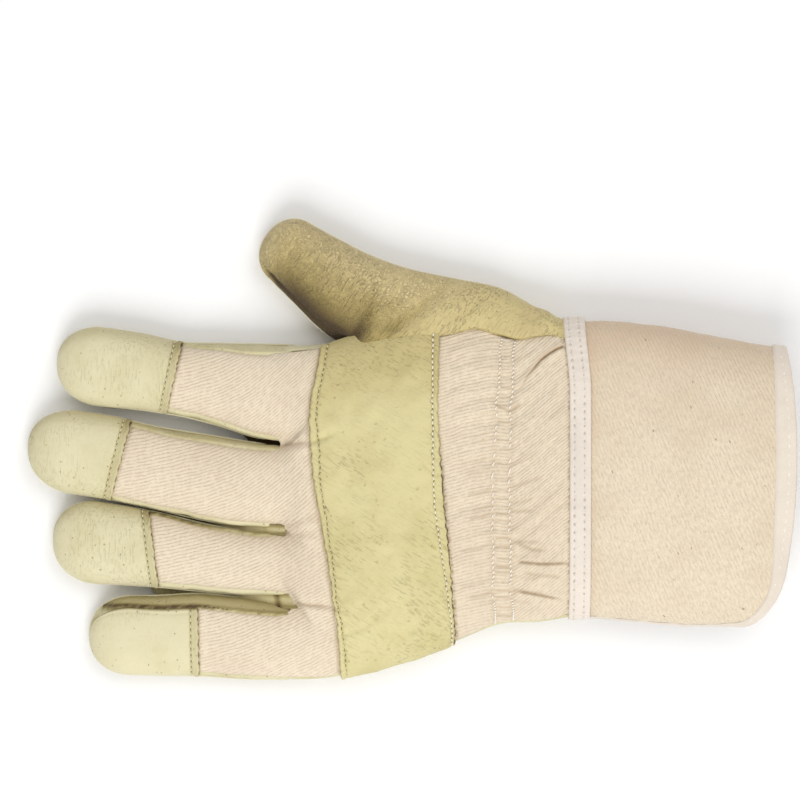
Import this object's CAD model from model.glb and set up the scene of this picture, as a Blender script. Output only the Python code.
"""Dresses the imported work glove: leather, twill, tape and thread as surfaces worked out from short tables."""

import bmesh
import bpy
import numpy as np
from bpy.props import FloatProperty, FloatVectorProperty, PointerProperty
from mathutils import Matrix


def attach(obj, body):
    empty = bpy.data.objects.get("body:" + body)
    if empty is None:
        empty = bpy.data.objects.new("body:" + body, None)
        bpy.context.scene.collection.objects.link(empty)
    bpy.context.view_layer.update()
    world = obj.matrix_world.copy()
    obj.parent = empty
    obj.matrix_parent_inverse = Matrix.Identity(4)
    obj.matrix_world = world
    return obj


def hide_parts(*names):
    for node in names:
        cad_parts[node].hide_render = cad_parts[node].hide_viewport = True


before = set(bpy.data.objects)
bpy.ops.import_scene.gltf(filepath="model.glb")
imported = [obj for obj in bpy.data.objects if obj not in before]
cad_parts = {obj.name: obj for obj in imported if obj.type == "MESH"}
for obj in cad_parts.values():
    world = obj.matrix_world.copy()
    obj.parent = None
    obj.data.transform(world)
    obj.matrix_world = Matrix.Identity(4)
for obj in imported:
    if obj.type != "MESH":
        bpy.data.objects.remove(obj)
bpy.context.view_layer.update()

bl_info = {
    "name": "Rigger Work Glove",
    "version": (1, 0, 0),
    "blender": (4, 5, 0),
    "location": "3D View > Sidebar > Work Glove",
    "description": "Makes a leather and canvas work glove with a gathered wrist and an open stiff cuff",
    "category": "Add Mesh",
}

MM = 0.001  # tables are in millimetres, meshes in metres
CENTRING = (-0.07, -0.36)  # the tables' origin in the frame


def table(names, *rows):
    """A short table: one named column for each word of names, one row for each station."""
    return np.array(list(rows), dtype=[(name, float) for name in names.split()])


HAND = table(
    "x low high side top power",
    (-47, -79.4, 36.4, 8.6, 19.0, 3.0),
    (-30, -78.8, 36.8, 9.2, 21.5, 2.8),
    (-12, -75.4, 43.0, 9.8, 24.0, 2.6),
    (8, -69.2, 46.2, 10.4, 25.0, 2.5),
    (20, -64.0, 46.4, 10.6, 24.0, 2.5),
    (31, -60.0, 45.6, 10.8, 22.6, 2.4),
    (44, -59.2, 44.4, 12.2, 25.4, 2.4),
    (58, -57.2, 45.0, 14.8, 29.0, 2.4),
    (80, -58.8, 43.4, 15.8, 31.4, 2.4),
    (105, -60.2, 39.4, 16.6, 33.0, 2.4),
    (133, -60.0, 34.6, 17.0, 34.0, 2.4),
)
# Upper and lower are the leather that shows beside the canvas, on the thumb side and on the little side
FINGER_COLUMNS = "x y half top upper lower"
FINGERS = {
    "index": {
        "round": 15.0,
        "rim_tone": 0.12,
        "seam_tone": 0.3,
        "seam": (-79.0, -84.4),
        "rows": table(
            FINGER_COLUMNS,
            (-107.4, 28.8, 13.4, 15.0, 0.8, 1.2),
            (-93, 27.0, 13.1, 15.5, 0.8, 1.2),
            (-79, 24.4, 12.7, 16.0, 0.8, 1.3),
            (-66, 22.5, 14.2, 16.5, 1.9, 1.3),
            (-54, 20.5, 16.0, 17.4, 3.2, 1.1),
            (-38, 19.2, 17.0, 18.0, 2.4, 0.9),
        ),
    },
    "middle": {
        "round": 16.5,
        "rim_tone": 0.18,
        "seam_tone": 0.35,
        "seam": (-96.6, -103.7),
        "rows": table(
            FINGER_COLUMNS,
            (-116, -0.9, 14.2, 15.0, 1.0, 1.0),
            (-103, -3.0, 14.4, 15.5, 1.0, 1.0),
            (-90.6, -5.8, 14.2, 16.0, 1.4, 0.9),
            (-67.5, -10.2, 14.8, 17.0, 2.2, 0.9),
            (-54, -12.0, 14.4, 17.8, 1.8, 0.9),
            (-38, -13.2, 14.0, 18.4, 1.4, 1.0),
        ),
    },
    "ring": {
        "round": 14.5,
        "rim_tone": 0.4,
        "seam_tone": 0.7,
        "seam": (-90.4, -87.3),
        "rows": table(
            FINGER_COLUMNS,
            (-109.3, -32.0, 14.0, 14.5, 0.4, 1.0),
            (-98, -33.2, 13.4, 15.0, 0.4, 1.0),
            (-88, -34.5, 12.8, 15.5, 0.4, 1.1),
            (-67, -38.0, 11.4, 16.5, 0.5, 1.4),
            (-54, -39.2, 11.0, 17.2, 1.1, 1.4),
            (-38, -39.4, 11.6, 17.8, 1.4, 1.3),
        ),
    },
    "little": {
        "round": 14.0,
        "rim_tone": 0.42,
        "seam_tone": 0.95,
        "seam": (-73.7, -73.3),
        "rows": table(
            FINGER_COLUMNS,
            (-97.3, -64.1, 13.4, 14.0, 3.4, 0.6),
            (-86, -64.1, 13.7, 14.5, 4.2, 0.6),
            (-73, -63.9, 14.1, 15.0, 4.4, 0.7),
            (-58, -65.2, 13.8, 16.0, 4.5, 0.8),
            (-44, -66.3, 13.0, 17.0, 3.6, 0.9),
            (-36, -66.3, 12.8, 17.4, 3.2, 0.9),
        ),
    },
}
# Slices across the thumb: centre, lean of the slice from +Y towards +X, half width, top
THUMB = table(
    "v x y lean half top",
    (0.0, -41.6, 68.6, 37.0, 11.6, 17.0),
    (0.14, -32.6, 61.8, 36.5, 13.3, 18.4),
    (0.28, -20.8, 53.2, 29.0, 15.6, 19.0),
    (0.43, -5.0, 46.4, 17.9, 16.6, 19.0),
    (0.58, 12.0, 42.6, 12.0, 16.8, 19.0),
    (0.73, 28.0, 39.4, 10.0, 16.6, 18.8),
    (0.86, 42.0, 38.2, 6.0, 11.2, 21.0),
    (1.0, 57.4, 37.6, 0.0, 7.6, 27.0),
)
THUMB_ROUND = 10.2
THUMB_SEAM = table(
    "x y",
    (-47, 34.0),
    (-27, 35.4),
    (0, 38.4),
    (14, 39.8),
    (22.6, 41.6),
    (29.6, 39.4),
    (36, 37.9),
    (42.7, 39.0),
    (58, 41.6),
)
STRAP = table(
    "y finger wrist front_row back_row",
    (-80, -24.3, 16.0, 2.6, 1.3),
    (-64, -25.4, 15.2, 2.2, 1.4),
    (-50, -27.2, 14.2, 1.5, 2.2),
    (-38, -28.9, 13.2, 1.8, 3.0),
    (-24, -31.4, 11.9, 2.1, 3.5),
    (-10, -33.8, 10.6, 2.4, 3.1),
    (0, -34.6, 9.8, 3.0, 2.5),
    (12, -35.3, 9.2, 2.6, 2.0),
    (38, -30.5, 9.6, 2.6, 2.6),
)
FINGER_MID = 7.5  # height of the fingers' side seams
FINGER_POWER = 2.3  # squareness of the sections
THUMB_POWER = 2.2
WEB_X = -47.0  # where the slits between the fingers end
PALM_FRONT_X = -44.5
CANVAS_SPLIT_X = -8.0  # canvas of the hand meets canvas of the wrist, under the strap
HAND_END_X = 57.7
CUFF_START_X = 58.1
CUFF_END_X = 130.7
CUFF_END_BULGE = 0.0021  # the open end falls back with the square of the distance from its middle
CUFF_WALL = 1.8
CORNER_AROUND = 31.0  # rounded corners at the split
CORNER_ALONG = 27.0
SPLIT_HALF_GAP = 3.2
SPLIT_TURN = 0.42  # radians from the cuff's little side down to the middle of its split
TAPE_FROM = 54.0
TAPE_TO = 61.4
TAPE_ROWS = (1.7, 5.1)  # its rows of stitches, from its edge towards the fingers
FLOOR_LIFT = 1.4  # wrist and cuff lie this far over the floor, on the joining tape
STRAP_LENGTH = 128
STRAP_WIDTH = 44
STRAP_THICK = 1.45  # height of its face over the canvas
STRAP_WALL = 0.9
WEB_WALL = 0.8
TAPE_WALL = 0.8
PALM_GIRTH = 130
THUMB_GIRTH = 60
WRIST_GIRTH = 118
THUMB_RADIUS = 14  # mm a radian round the thumb
THUMB_TIP_ROWS = 14
THUMB_ROWS = 120
CROTCH_ROW = 48  # of the thumb's rows, the one at the crotch
THUMB_WELT_END_X = 42


def read(rows, name, at):
    """A column at any places along the first column, through a cubic Hermite curve with mean slopes."""
    keys = rows[rows.dtype.names[0]]
    values = rows[name]
    slopes = np.diff(values) / np.diff(keys)
    tangents = np.concatenate([slopes[:1], (slopes[1:] + slopes[:-1]) / 2, slopes[-1:]])
    at = np.clip(at, keys[0], keys[-1])
    i = np.clip(np.searchsorted(keys, at) - 1, 0, len(keys) - 2)
    span = keys[i + 1] - keys[i]
    t = (at - keys[i]) / span
    start = (2 * t**3 - 3 * t**2 + 1) * values[i] + (t**3 - 2 * t**2 + t) * span * tangents[i]
    return start + (3 * t**2 - 2 * t**3) * values[i + 1] + (t**3 - t**2) * span * tangents[i + 1]


def smooth(value, low, high):
    """0 below low, 1 above high, and a smooth S between them."""
    t = np.clip((value - low) / (high - low), 0.0, 1.0)
    return t * t * (3 - 2 * t)


def bump(distance, width):
    """A bell curve: exp of minus the square of distance over width."""
    return np.exp(-((distance / width) ** 2))


RIPPLE_WAVES = 8


def ripples(x, y, size, seed):
    """Soft lumps: sine waves of about the given length in random directions, added and evened out."""
    rng = np.random.default_rng(seed)
    total = 0.0
    for turn, phase, pace in rng.uniform(0, 1, (RIPPLE_WAVES, 3)):
        wave = (x * np.cos(2 * np.pi * turn) + y * np.sin(2 * np.pi * turn)) * (0.6 + pace) / size
        total = total + np.sin(2 * np.pi * (wave + phase))
    return total / np.sqrt(RIPPLE_WAVES)


def joined(*parts):
    """Arrays of the coordinates joined into one array of places."""
    return np.stack(np.broadcast_arrays(*parts), axis=-1)


def unit(vectors):
    """Vectors at length 1."""
    return vectors / np.linalg.norm(vectors, axis=-1, keepdims=True)


def signed_power(value, power):
    """The size of a value raised to a power, with the value's sign."""
    return np.sign(value) * np.abs(value) ** power


def passed_along(path):
    """Length passed at each place of a path, from its start."""
    return np.concatenate([[0.0], np.cumsum(np.linalg.norm(np.diff(path, axis=0), axis=1))])


def line_distance(x, y, points):
    """Distance in plan from each place to a broken line, and the share of the line passed there."""
    points = np.array(points, float)
    lengths = np.hypot(*np.diff(points, axis=0).T)
    passed = np.concatenate([[0.0], np.cumsum(lengths)])
    best = np.full(np.broadcast(x, y).shape, np.inf)
    share = np.zeros_like(best)
    for start, end, length, before in zip(points[:-1], points[1:], lengths, passed[:-1]):
        run = (end - start) / length
        t = np.clip((x - start[0]) * run[0] + (y - start[1]) * run[1], 0, length)
        distance = np.hypot(x - start[0] - t * run[0], y - start[1] - t * run[1])
        near = distance < best
        best = np.where(near, distance, best)
        share = np.where(near, (before + t) / passed[-1], share)
    return best, share


def folds_at(x, y, lines):
    """Height and tone of folds in cloth. Each line has a path, a width, a depth and a tone: a groove along
    the path with a low swell on both sides, fading at its ends."""
    height = 0.0 * (x + y)
    tone = 0.0 * (x + y)
    for points, width, depth, dark in lines:
        distance, share = line_distance(x, y, points)
        fade = smooth(share, 0.0, 0.12) * smooth(1 - share, 0.0, 0.3)
        groove = fade * bump(distance, width)
        height = height + depth * (0.45 * fade * bump(distance, 2.6 * width) - 1.45 * groove)
        tone = tone + dark * groove
    return height, tone


def crease(x, y, points, width, depth):
    """Height of one fold."""
    return folds_at(x, y, [(points, width, depth, 0.0)])[0]


def hollows(height, reach, full):
    """Tone of hollows: how far a height lies under its mean over some rows and columns, with full as 1."""
    mean = height
    for axis in (0, 1):
        mean = sum(np.roll(mean, shift, axis) for shift in range(-reach, reach + 1)) / (2 * reach + 1)
    return np.clip((mean - height) / full, 0, 1)


def steps_with_edges(length, step, edge=(0.0, 0.12, 0.3, 0.6, 1.0)):
    """Shares from 0 to 1 along a length, spaced by step, with extra places close to both ends."""
    edge = np.array(edge)
    count = max(int(round((length - 2 * edge[-1]) / step)), 2)
    middle = np.linspace(edge[-1], length - edge[-1], count + 1)[1:-1]
    return np.concatenate([edge, middle, length - edge[::-1]]) / length


# Sections of the filled glove


def oval(section, angle, offset=0.0):
    """Squarish oval: |y/half|^power + |z/height|^power = 1, cut flat at the floor, moved out by offset."""
    c = np.cos(angle)
    s = np.sin(angle)
    power = section["power"]
    height = np.where(s >= 0, section["top"] - section["mid"], section["mid"] - section["floor"] + 1.2)
    across = signed_power(c, 2 / power)
    up = signed_power(s, 2 / power)
    normal_y = signed_power(across, power - 1) / section["half"]
    normal_z = signed_power(up, power - 1) / height
    length = np.hypot(normal_y, normal_z)
    y = section["y"] + section["half"] * across + offset * normal_y / length
    z = section["mid"] + height * up + offset * normal_z / length
    return y, np.maximum(z, section["floor"] - offset)


def hand_section(x):
    """The hand or cuff cut across at x."""
    low = read(HAND, "low", x)
    high = read(HAND, "high", x)
    return {
        "y": (low + high) / 2,
        "half": (high - low) / 2,
        "mid": read(HAND, "side", x),
        "top": read(HAND, "top", x),
        "power": read(HAND, "power", x),
        "floor": FLOOR_LIFT * smooth(x, 42, 53),
    }


def angle_of(section, y, top=True):
    """The angle at which a section has a given y, on its upper or lower side."""
    share = np.clip((y - section["y"]) / section["half"], -1, 1)
    angle = np.arccos(signed_power(share, section["power"] / 2))
    return angle if top else 2 * np.pi - angle


def finger_section(finger, x):
    """A finger cut across at x."""
    rows = finger["rows"]
    return {
        "y": read(rows, "y", x),
        "half": read(rows, "half", x),
        "mid": FINGER_MID,
        "top": read(rows, "top", x),
        "power": FINGER_POWER,
        "floor": 0.0,
    }


def finger_point(finger, station, turn, angle, offset=0.0):
    """A finger is its section at each station, and beyond the first station the section shrinks with the
    cosine of turn while it moves forward with the sine, which rounds the end off."""
    rows = finger["rows"]
    section = finger_section(finger, station)
    y, z = oval(section, angle, offset)
    shrink = np.maximum(np.cos(turn), 0.0) ** 0.87
    centre_z = FINGER_MID - 1.5
    drift = (rows["y"][0] - rows["y"][1]) / (rows["x"][0] - rows["x"][1])
    forward = (finger["round"] + offset) * np.sin(turn)
    y = section["y"] + (y - section["y"]) * shrink - drift * forward * 0.5
    z = centre_z + (z - centre_z) * shrink
    return joined(station - forward, y, z)


def seam_y(x):
    """The seam in plan between the canvas back and the thumb leather."""
    return read(THUMB_SEAM, "y", x)


def back_relief(x, y):
    """Slow swells and pressed folds of the back of the hand."""
    fade = smooth(x, -50, -36)
    lumps = 0.38 * ripples(x, y, 42, 3) + 0.12 * ripples(x, y, 13, 4)
    folds = (
        crease(x, y, [(-49, 1.0), (-42, 1.6), (-33, 3.4), (-24, 7.0)], 1.1, 1.0)
        + crease(x, y, [(-48, -27.4), (-40, -28.6), (-30, -28.0)], 1.1, 0.7)
        + crease(x, y, [(-46, -52.0), (-38, -52.6), (-27, -53.6), (-16, -57.0)], 1.2, 0.9)
        + crease(x, y, [(-30, -66.0), (-16, -60.0), (-4, -50.0)], 1.3, 0.45)
        + crease(x, y, [(-14, -70.0), (0, -62.0), (10, -52.0)], 1.2, 0.4)
    )
    return fade * lumps + folds


def on_hand(x, angle, lift=0.0):
    """A place on the back or palm of the hand, with its swells and folds, lifted along the normal."""
    section = hand_section(x)
    y, _ = oval(section, angle)
    upper = smooth(np.sin(angle), 0.0, 0.35)
    y, z = oval(section, angle, lift + upper * back_relief(x, y))
    return joined(x, y, z)


# Meshes


def outward(points):
    """True if the faces of a grid, whose rows are sections, look away from the middle of their section."""
    along = np.gradient(points, axis=0)
    around = np.gradient(points, axis=1)
    out = points - points.mean(axis=1, keepdims=True)
    return np.sum(np.cross(along, around) * out) > 0


def grid_faces(rows, columns, first, flip):
    """Quads of a grid of numbered places."""
    number = first + np.arange(rows * columns).reshape(rows, columns)
    quads = np.stack([number[:-1, :-1], number[1:, :-1], number[1:, 1:], number[:-1, 1:]], axis=-1)
    quads = quads.reshape(-1, 4)
    return quads[:, ::-1] if flip else quads


def cloth_measure(points):
    """Flat coordinates of a grid in mm: along its middle column, and across each row from its middle."""
    across = np.linalg.norm(np.diff(points, axis=1), axis=2)
    across = np.concatenate([np.zeros((len(points), 1)), np.cumsum(across, axis=1)], axis=1)
    across -= across[:, -1:] / 2
    along = passed_along(points[:, points.shape[1] // 2])
    return joined(along[:, None], across)


def in_metres(places):
    """Places of these formulas, in mm, as a list of places in the shared frame."""
    return (places.reshape(-1, 3) + np.array([*CENTRING, 0.0])) * MM


def surface(name, grids, thickness=0.0, flat=None, tones=None, flips=None):
    """One mesh from grids of places in mm, welded where they meet, with their flat coordinates as UV in
    metres and their tone, the share of the darker colour, as an attribute."""
    points, quads, flats, shades = [], [], [], []
    first = 0
    for i, grid in enumerate(grids):
        rows, columns, _ = grid.shape
        flip = not outward(grid) if flips is None else flips[i]
        quads.append(grid_faces(rows, columns, first, flip))
        points.append(grid.reshape(-1, 3))
        flats.append((cloth_measure(grid) if flat is None else flat[i]).reshape(-1, 2))
        shades.append(np.broadcast_to(0.0 if tones is None else tones[i], (rows, columns)).ravel())
        first += rows * columns
    places = in_metres(np.concatenate(points))
    places[:, 2] = np.maximum(places[:, 2], 0.0)
    faces = np.concatenate(quads)
    mesh = bpy.data.meshes.new(name)
    mesh.from_pydata(places, [], faces.tolist())
    layer = mesh.uv_layers.new(name="cloth")
    layer.data.foreach_set("uv", (np.concatenate(flats)[faces.ravel()] * MM).ravel())
    tone = mesh.attributes.new("tone", "FLOAT", "POINT")
    tone.data.foreach_set("value", np.clip(np.concatenate(shades), 0, 1))
    weld(mesh)
    return piece(name, mesh, thickness)


def weld(mesh):
    """Joins places that coincide and drops faces that this leaves without an area."""
    shape = bmesh.new()
    shape.from_mesh(mesh)
    bmesh.ops.remove_doubles(shape, verts=shape.verts, dist=2e-6)
    bmesh.ops.dissolve_degenerate(shape, edges=shape.edges, dist=1e-7)
    shape.to_mesh(mesh)
    shape.free()
    mesh.polygons.foreach_set("use_smooth", np.ones(len(mesh.polygons), bool))


def piece(name, mesh, thickness=0.0):
    """An object on the root body; a thickness in mm turns the surface into a wall, inwards."""
    made = bpy.data.objects.new(name, mesh)
    bpy.context.scene.collection.objects.link(made)
    if thickness:
        wall = made.modifiers.new("Wall", "SOLIDIFY")
        wall.thickness = thickness * MM
        wall.offset = -1.0
        wall.use_rim = True
    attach(made, "root")
    return made


def dress(made, material, slot, *nodes):
    """Gives a piece its material, its slot and the CAD nodes that it stands for."""
    made.data.materials.append(material)
    if nodes:
        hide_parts(*nodes)
    return made


def thread_bits(name, starts, ends, ups, radius, arch):
    """Stitches: each is a tapered thread that rises over a half sine from its start and back to its end."""
    rings, sides = 6, 6
    t = np.linspace(0, 1, rings)[None, :, None]
    run = ends - starts
    forward = unit(run)
    side = unit(np.cross(ups, forward))
    up = np.cross(forward, side)
    centre = starts[:, None] + run[:, None] * t + up[:, None] * (arch * np.sin(np.pi * t) - 0.1)
    thick = radius * (0.55 + 0.45 * np.sin(np.pi * t) ** 0.5)
    turn = np.linspace(0, 2 * np.pi, sides, endpoint=False)[None, None, :, None]
    ring = side[:, None, None] * np.cos(turn) + up[:, None, None] * np.sin(turn)
    places = centre[:, :, None] + thick[..., None] * ring
    count = len(starts)
    number = np.arange(count * rings * sides).reshape(count, rings, sides)
    after = np.roll(number, -1, axis=2)
    quads = np.stack([number[:, :-1], after[:, :-1], after[:, 1:], number[:, 1:]], axis=-1).reshape(-1, 4)
    caps = np.concatenate([number[:, 0, ::-1], number[:, -1]])
    mesh = bpy.data.meshes.new(name)
    mesh.from_pydata(in_metres(places), [], quads.tolist() + caps.tolist())
    mesh.polygons.foreach_set("use_smooth", np.ones(len(mesh.polygons), bool))
    return piece(name, mesh)


def stitches_along(path, ups, pitch, fill):
    """Starts, ends and ups of stitches laid at a pitch along a path of places in mm."""
    passed = passed_along(path)
    count = max(int(passed[-1] / pitch), 1)
    begin = (np.arange(count) + 0.14) * passed[-1] / count
    finish = begin + fill * passed[-1] / count

    def at(where, values):
        return np.stack([np.interp(where, passed, values[:, i]) for i in range(3)], axis=1)

    return at(begin, path), at(finish, path), at((begin + finish) / 2, ups)


def hole_beads(starts, ends, ups):
    """The holes at both ends of each stitch as starts, ends and ups of dark beads."""
    run = unit(ends - starts)
    places = np.concatenate([starts - 0.22 * run, ends + 0.22 * run])
    runs = np.concatenate([run, run])
    return places - 0.24 * runs, places + 0.24 * runs, np.concatenate([ups, ups])


def path_ups(strip, out=(0.0, 0.0, 1.0)):
    """Middle column of a three-column strip of places, and its normals, on the side of the given outward
    vectors."""
    along = np.gradient(strip[:, 1], axis=0)
    normal = unit(np.cross(along, strip[:, 2] - strip[:, 0]))
    return strip[:, 1], normal * np.sign(np.sum(normal * out, axis=1, keepdims=True))


# Fingers

CAP_LAP = 3.0  # canvas hidden under a fingertip cap
SLEEVE_TURNS = np.radians(np.linspace(90, 4, 15))
SLEEVE_ROWS = 60
SLEEVE_END_X = -38.5
CAP_FAR_SIDE = np.radians(185)
CAP_RADIUS = 11  # mm a radian round a fingertip
FAR = 99.0  # farther than any edge
WELT_RADIUS = 0.3
WELT_ROWS = 50


def seam_x(finger, across):
    """Where the cap of a finger ends, for a place across it from -1 on the little side to 1."""
    first, last = finger["seam"]
    return (first + last) / 2 + (first - last) / 2 * across


def finger_relief(finger, x, y, angle):
    """Small swells, and soft dents across the finger where it bends."""
    joint = finger["rows"]["x"][0] * 0.45 + WEB_X * 0.55
    dents = -0.4 * bump(x - joint, 3.0) - 0.25 * bump(x - joint + 7, 2.2)
    lumps = 0.16 * ripples(x, y + 9 * np.sin(angle), 17, 11) + 0.05 * ripples(x, y + 9 * np.sin(angle), 6, 12)
    return lumps + dents * (0.45 + 0.4 * np.sin(angle - 0.4))


def cap_limit(finger, x):
    """Angle where a fingertip cap begins on the thumb side: at the side seam, or at the seam of a wide side
    wall."""
    wide = smooth(read(finger["rows"], "upper", x), 1.6, 2.6)
    section = finger_section(finger, x)
    seam = angle_of(section, section["y"] + section["half"] - read(finger["rows"], "upper", x))
    return np.radians(-5) * (1 - wide) + seam * wide


def canvas_edges(finger, x):
    """Plan places across a finger where its canvas begins on the thumb side and ends on the little side."""
    section = finger_section(finger, x)
    high = section["y"] + section["half"] - read(finger["rows"], "upper", x)
    return high, section["y"] - section["half"] + read(finger["rows"], "lower", x)


def finger_sleeve(finger):
    """Leather of a finger: a closed tube with a round end, sunk where the canvas or the cap lies over it.
    Its tone darkens the walls that face the neighbouring fingers and the seam beside the canvas."""
    start = finger["rows"]["x"][0]
    tube = np.linspace(start, SLEEVE_END_X, SLEEVE_ROWS)
    stations = np.concatenate([np.full(len(SLEEVE_TURNS), start), tube])[:, None]
    turns = np.concatenate([SLEEVE_TURNS, np.zeros(SLEEVE_ROWS)])[:, None]
    angle = np.linspace(0, 2 * np.pi, 145)[None, :]
    plain = finger_point(finger, stations, turns, angle)
    x, y = plain[..., 0], plain[..., 1]
    share = signed_power(np.cos(angle), 2 / FINGER_POWER)
    high, low = canvas_edges(finger, stations)
    inside = np.minimum(high - y, y - low)
    upper = smooth(np.sin(angle), 0.0, 0.2)
    past_limit = smooth(angle - cap_limit(finger, stations), -0.02, 0.06)
    capped = smooth(seam_x(finger, share) - x, -0.5, 0.5) * past_limit
    covered = np.maximum(smooth(inside, -0.1, 0.8), capped) * upper
    ridge = 0.25 * bump(inside + 0.45, 0.4) * upper * (1 - capped)
    root = smooth(x, -43, -39)
    relief = finger_relief(finger, x, y, angle) * np.cos(turns) ** 0.5
    lift = relief * (1 - covered) + ridge - 1.2 * covered - 1.6 * root
    rough = (0.9 + 0.15 * ripples(x, y, 1.7, 13)) * (0.55 + 0.45 * smooth(-x, 64, 76))
    thumb_side = smooth(share, 0.0, 0.3)
    outside = smooth(-inside, 0.0, 1.2)
    deep = smooth(0.55 - np.sin(angle), 0.0, 0.7) * smooth(x, -128, -100)
    seam = bump(inside + 0.15, 0.35 + 0.45 * finger["seam_tone"])
    tone = finger["rim_tone"] * outside * thumb_side + finger["seam_tone"] * seam * rough * thumb_side
    tone = tone + 0.3 * deep * outside
    return finger_point(finger, stations, turns, angle, lift), tone * upper + 0.35 * (1 - upper) * deep


def finger_cap(finger):
    """Leather cap over the back of a fingertip: from the side seams over the top, with a groove under its
    stitches and a raw back edge that stands up a little. Its tone darkens the edges and the groove."""
    start = finger["rows"]["x"][0]
    along = steps_with_edges(float(np.mean(finger["seam"]) - start), 0.55)[:, None]
    turns = np.concatenate([SLEEVE_TURNS, np.zeros(len(along))])[:, None]
    tip_rows = len(SLEEVE_TURNS)
    to_seam = start + along * (finger["seam"][0] - start)
    limit = cap_limit(finger, np.concatenate([np.full((tip_rows, 1), start), to_seam]))
    angle = limit + (CAP_FAR_SIDE - limit) * np.linspace(0, 1, 81)[None, :]
    share = signed_power(np.cos(angle), 2 / FINGER_POWER)
    end = seam_x(finger, share) + 0.2 * ripples(share * 9, 0 * share, 3.4, 21) + 0.1
    stations = np.full(angle.shape, start)
    stations[tip_rows:] = start + along * (end[tip_rows:] - start)
    plain = finger_point(finger, stations, turns, angle)
    x, y = plain[..., 0], plain[..., 1]
    to_edge = np.where(turns > 0, FAR, end - stations)
    to_side = np.minimum(angle - limit, CAP_FAR_SIDE - angle) * CAP_RADIUS
    lift = 0.3 + 0.5 * finger_relief(finger, x, y, angle) * np.cos(turns) ** 0.5
    groove = bump(to_edge - 2.7, 0.5)
    lift = lift + 0.3 * smooth(to_edge, 3.2, 0.6) - 0.35 * groove
    lift = lift - 0.8 * smooth(0.45 - to_edge, 0.0, 0.45) - 0.8 * smooth(1.2 - to_side, 0.0, 1.2)
    lift = lift - 0.15 * bump(to_side - 2.0, 0.6)
    frayed = 0.6 + 0.5 * ripples(share * 14, 0 * share, 1.5, 22)
    tone = 0.75 * smooth(0.45 - to_edge, 0.0, 0.4) * frayed + 0.15 * groove + 0.28 * bump(to_edge - 1.2, 0.9)
    tone = tone + 0.4 * smooth(1.8 - to_side, 0.0, 1.8) + 0.25 * smooth(share, 0.45, 1.0)
    return finger_point(finger, stations, turns, angle, lift), np.clip(tone, 0, 1)


def finger_welt(finger, thumb_from=-50.0):
    """Outline of a finger as one path: along its thumb side to the tip and back along its little side."""
    start = finger["rows"]["x"][0]
    turns = SLEEVE_TURNS[::-1]
    one = np.linspace(thumb_from, start, WELT_ROWS)
    other = np.linspace(start, -50.0, WELT_ROWS)
    stations = np.concatenate([one, np.full(2 * len(turns), start), other])
    turn = np.concatenate([np.zeros(WELT_ROWS), turns, turns[::-1], np.zeros(WELT_ROWS)])
    half = WELT_ROWS + len(turns)
    angle = np.radians(np.concatenate([np.full(half, -3.0), np.full(half, 183.0)]))
    return finger_point(finger, stations[:, None], turn[:, None], angle[:, None], 0.12)[:, 0]


def welt_grid(path):
    """A thin rounded seam edge along a path of places: rings that close to a point at both ends."""
    kept = np.concatenate([[True], np.linalg.norm(np.diff(path, axis=0), axis=1) > 0.02])
    path = path[kept]
    forward = unit(np.gradient(path, axis=0))
    side = unit(np.cross(forward, [0.0, 0.0, 1.0]))
    up = np.cross(side, forward)
    turn = np.linspace(0, 2 * np.pi, 9)[None, :, None]
    passed = np.arange(len(path))
    thick = WELT_RADIUS * np.sqrt(np.clip(np.minimum(passed, passed[::-1]) / 3, 0, 1))[:, None, None]
    return path[:, None] + thick * (side[:, None] * np.cos(turn) + up[:, None] * np.sin(turn))


def canvas_place(finger, x, share, lift=0.0):
    """A place on the canvas of a finger: share runs from 1 on the thumb side to -1, inside the leather
    rims."""
    section = finger_section(finger, x)
    high, low = canvas_edges(finger, x)
    y = low + (high - low) * (share + 1) / 2
    angle = angle_of(section, y)
    relief = 0.8 * finger_relief(finger, x, y, angle) * smooth(WEB_X - x, 0, 9)
    y, z = oval(section, angle, lift + relief)
    return joined(x, y, z)


def web_x(y):
    """Where a slit between two fingers ends: the last slit is longer."""
    return WEB_X + 4.6 * bump(y + 52, 7)


def twill_flat(grid):
    """Flat coordinates of the back's twill: the second one counts its ribs, which lie nearly along the
    fingers and turn across the hand, more towards the thumb."""
    x, y = grid[..., 0], grid[..., 1]
    steep = 0.32 + 0.4 * smooth(y, -50, 15)
    turned = np.logaddexp(0, (x + 60) / 6) * 6
    return joined(x, y - 0.2 * (x + 60) - steep * turned)


def canvas_shares(finger):
    """Places across a finger's canvas from its thumb side to its little side, closer at the edges."""
    width = 2 * (finger["rows"]["half"][-2] - 1.5)
    return 1 - 2 * steps_with_edges(width, 0.75, (0.0, 0.25, 0.6, 1.0))[None, :]


def finger_strip(finger):
    """Canvas over a finger, tucked in under the cap and beside the leather, and its tone."""
    share = canvas_shares(finger)
    begin = seam_x(finger, share) - CAP_LAP
    end = slit_end(finger, share)
    x = begin + np.linspace(0, 1, 62)[:, None] * (end - begin)
    to_cap = x - begin - CAP_LAP
    tuck = smooth(np.abs(share), 0.9, 1.0) * smooth(end - x, 0.0, 3.0)
    strip = canvas_place(finger, x, share, -0.75 * smooth(0.6 - to_cap, 0.0, 1.0) - 0.45 * tuck)
    rough = 0.6 + 0.5 * ripples(strip[..., 1], strip[..., 0], 1.3, 25)
    return strip, np.maximum(0.9 * bump(to_cap - 0.1, 0.55) * rough, 0.25 * tuck * (0.5 + 0.5 * rough))


def slit_y(finger, share):
    """How far to the side the canvas of a finger lies where the slits end."""
    return canvas_place(finger, np.array([[WEB_X]]), share)[..., 1]


def slit_end(finger, share):
    """Where the canvas of a finger runs into the hand."""
    return web_x(slit_y(finger, share))


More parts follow.
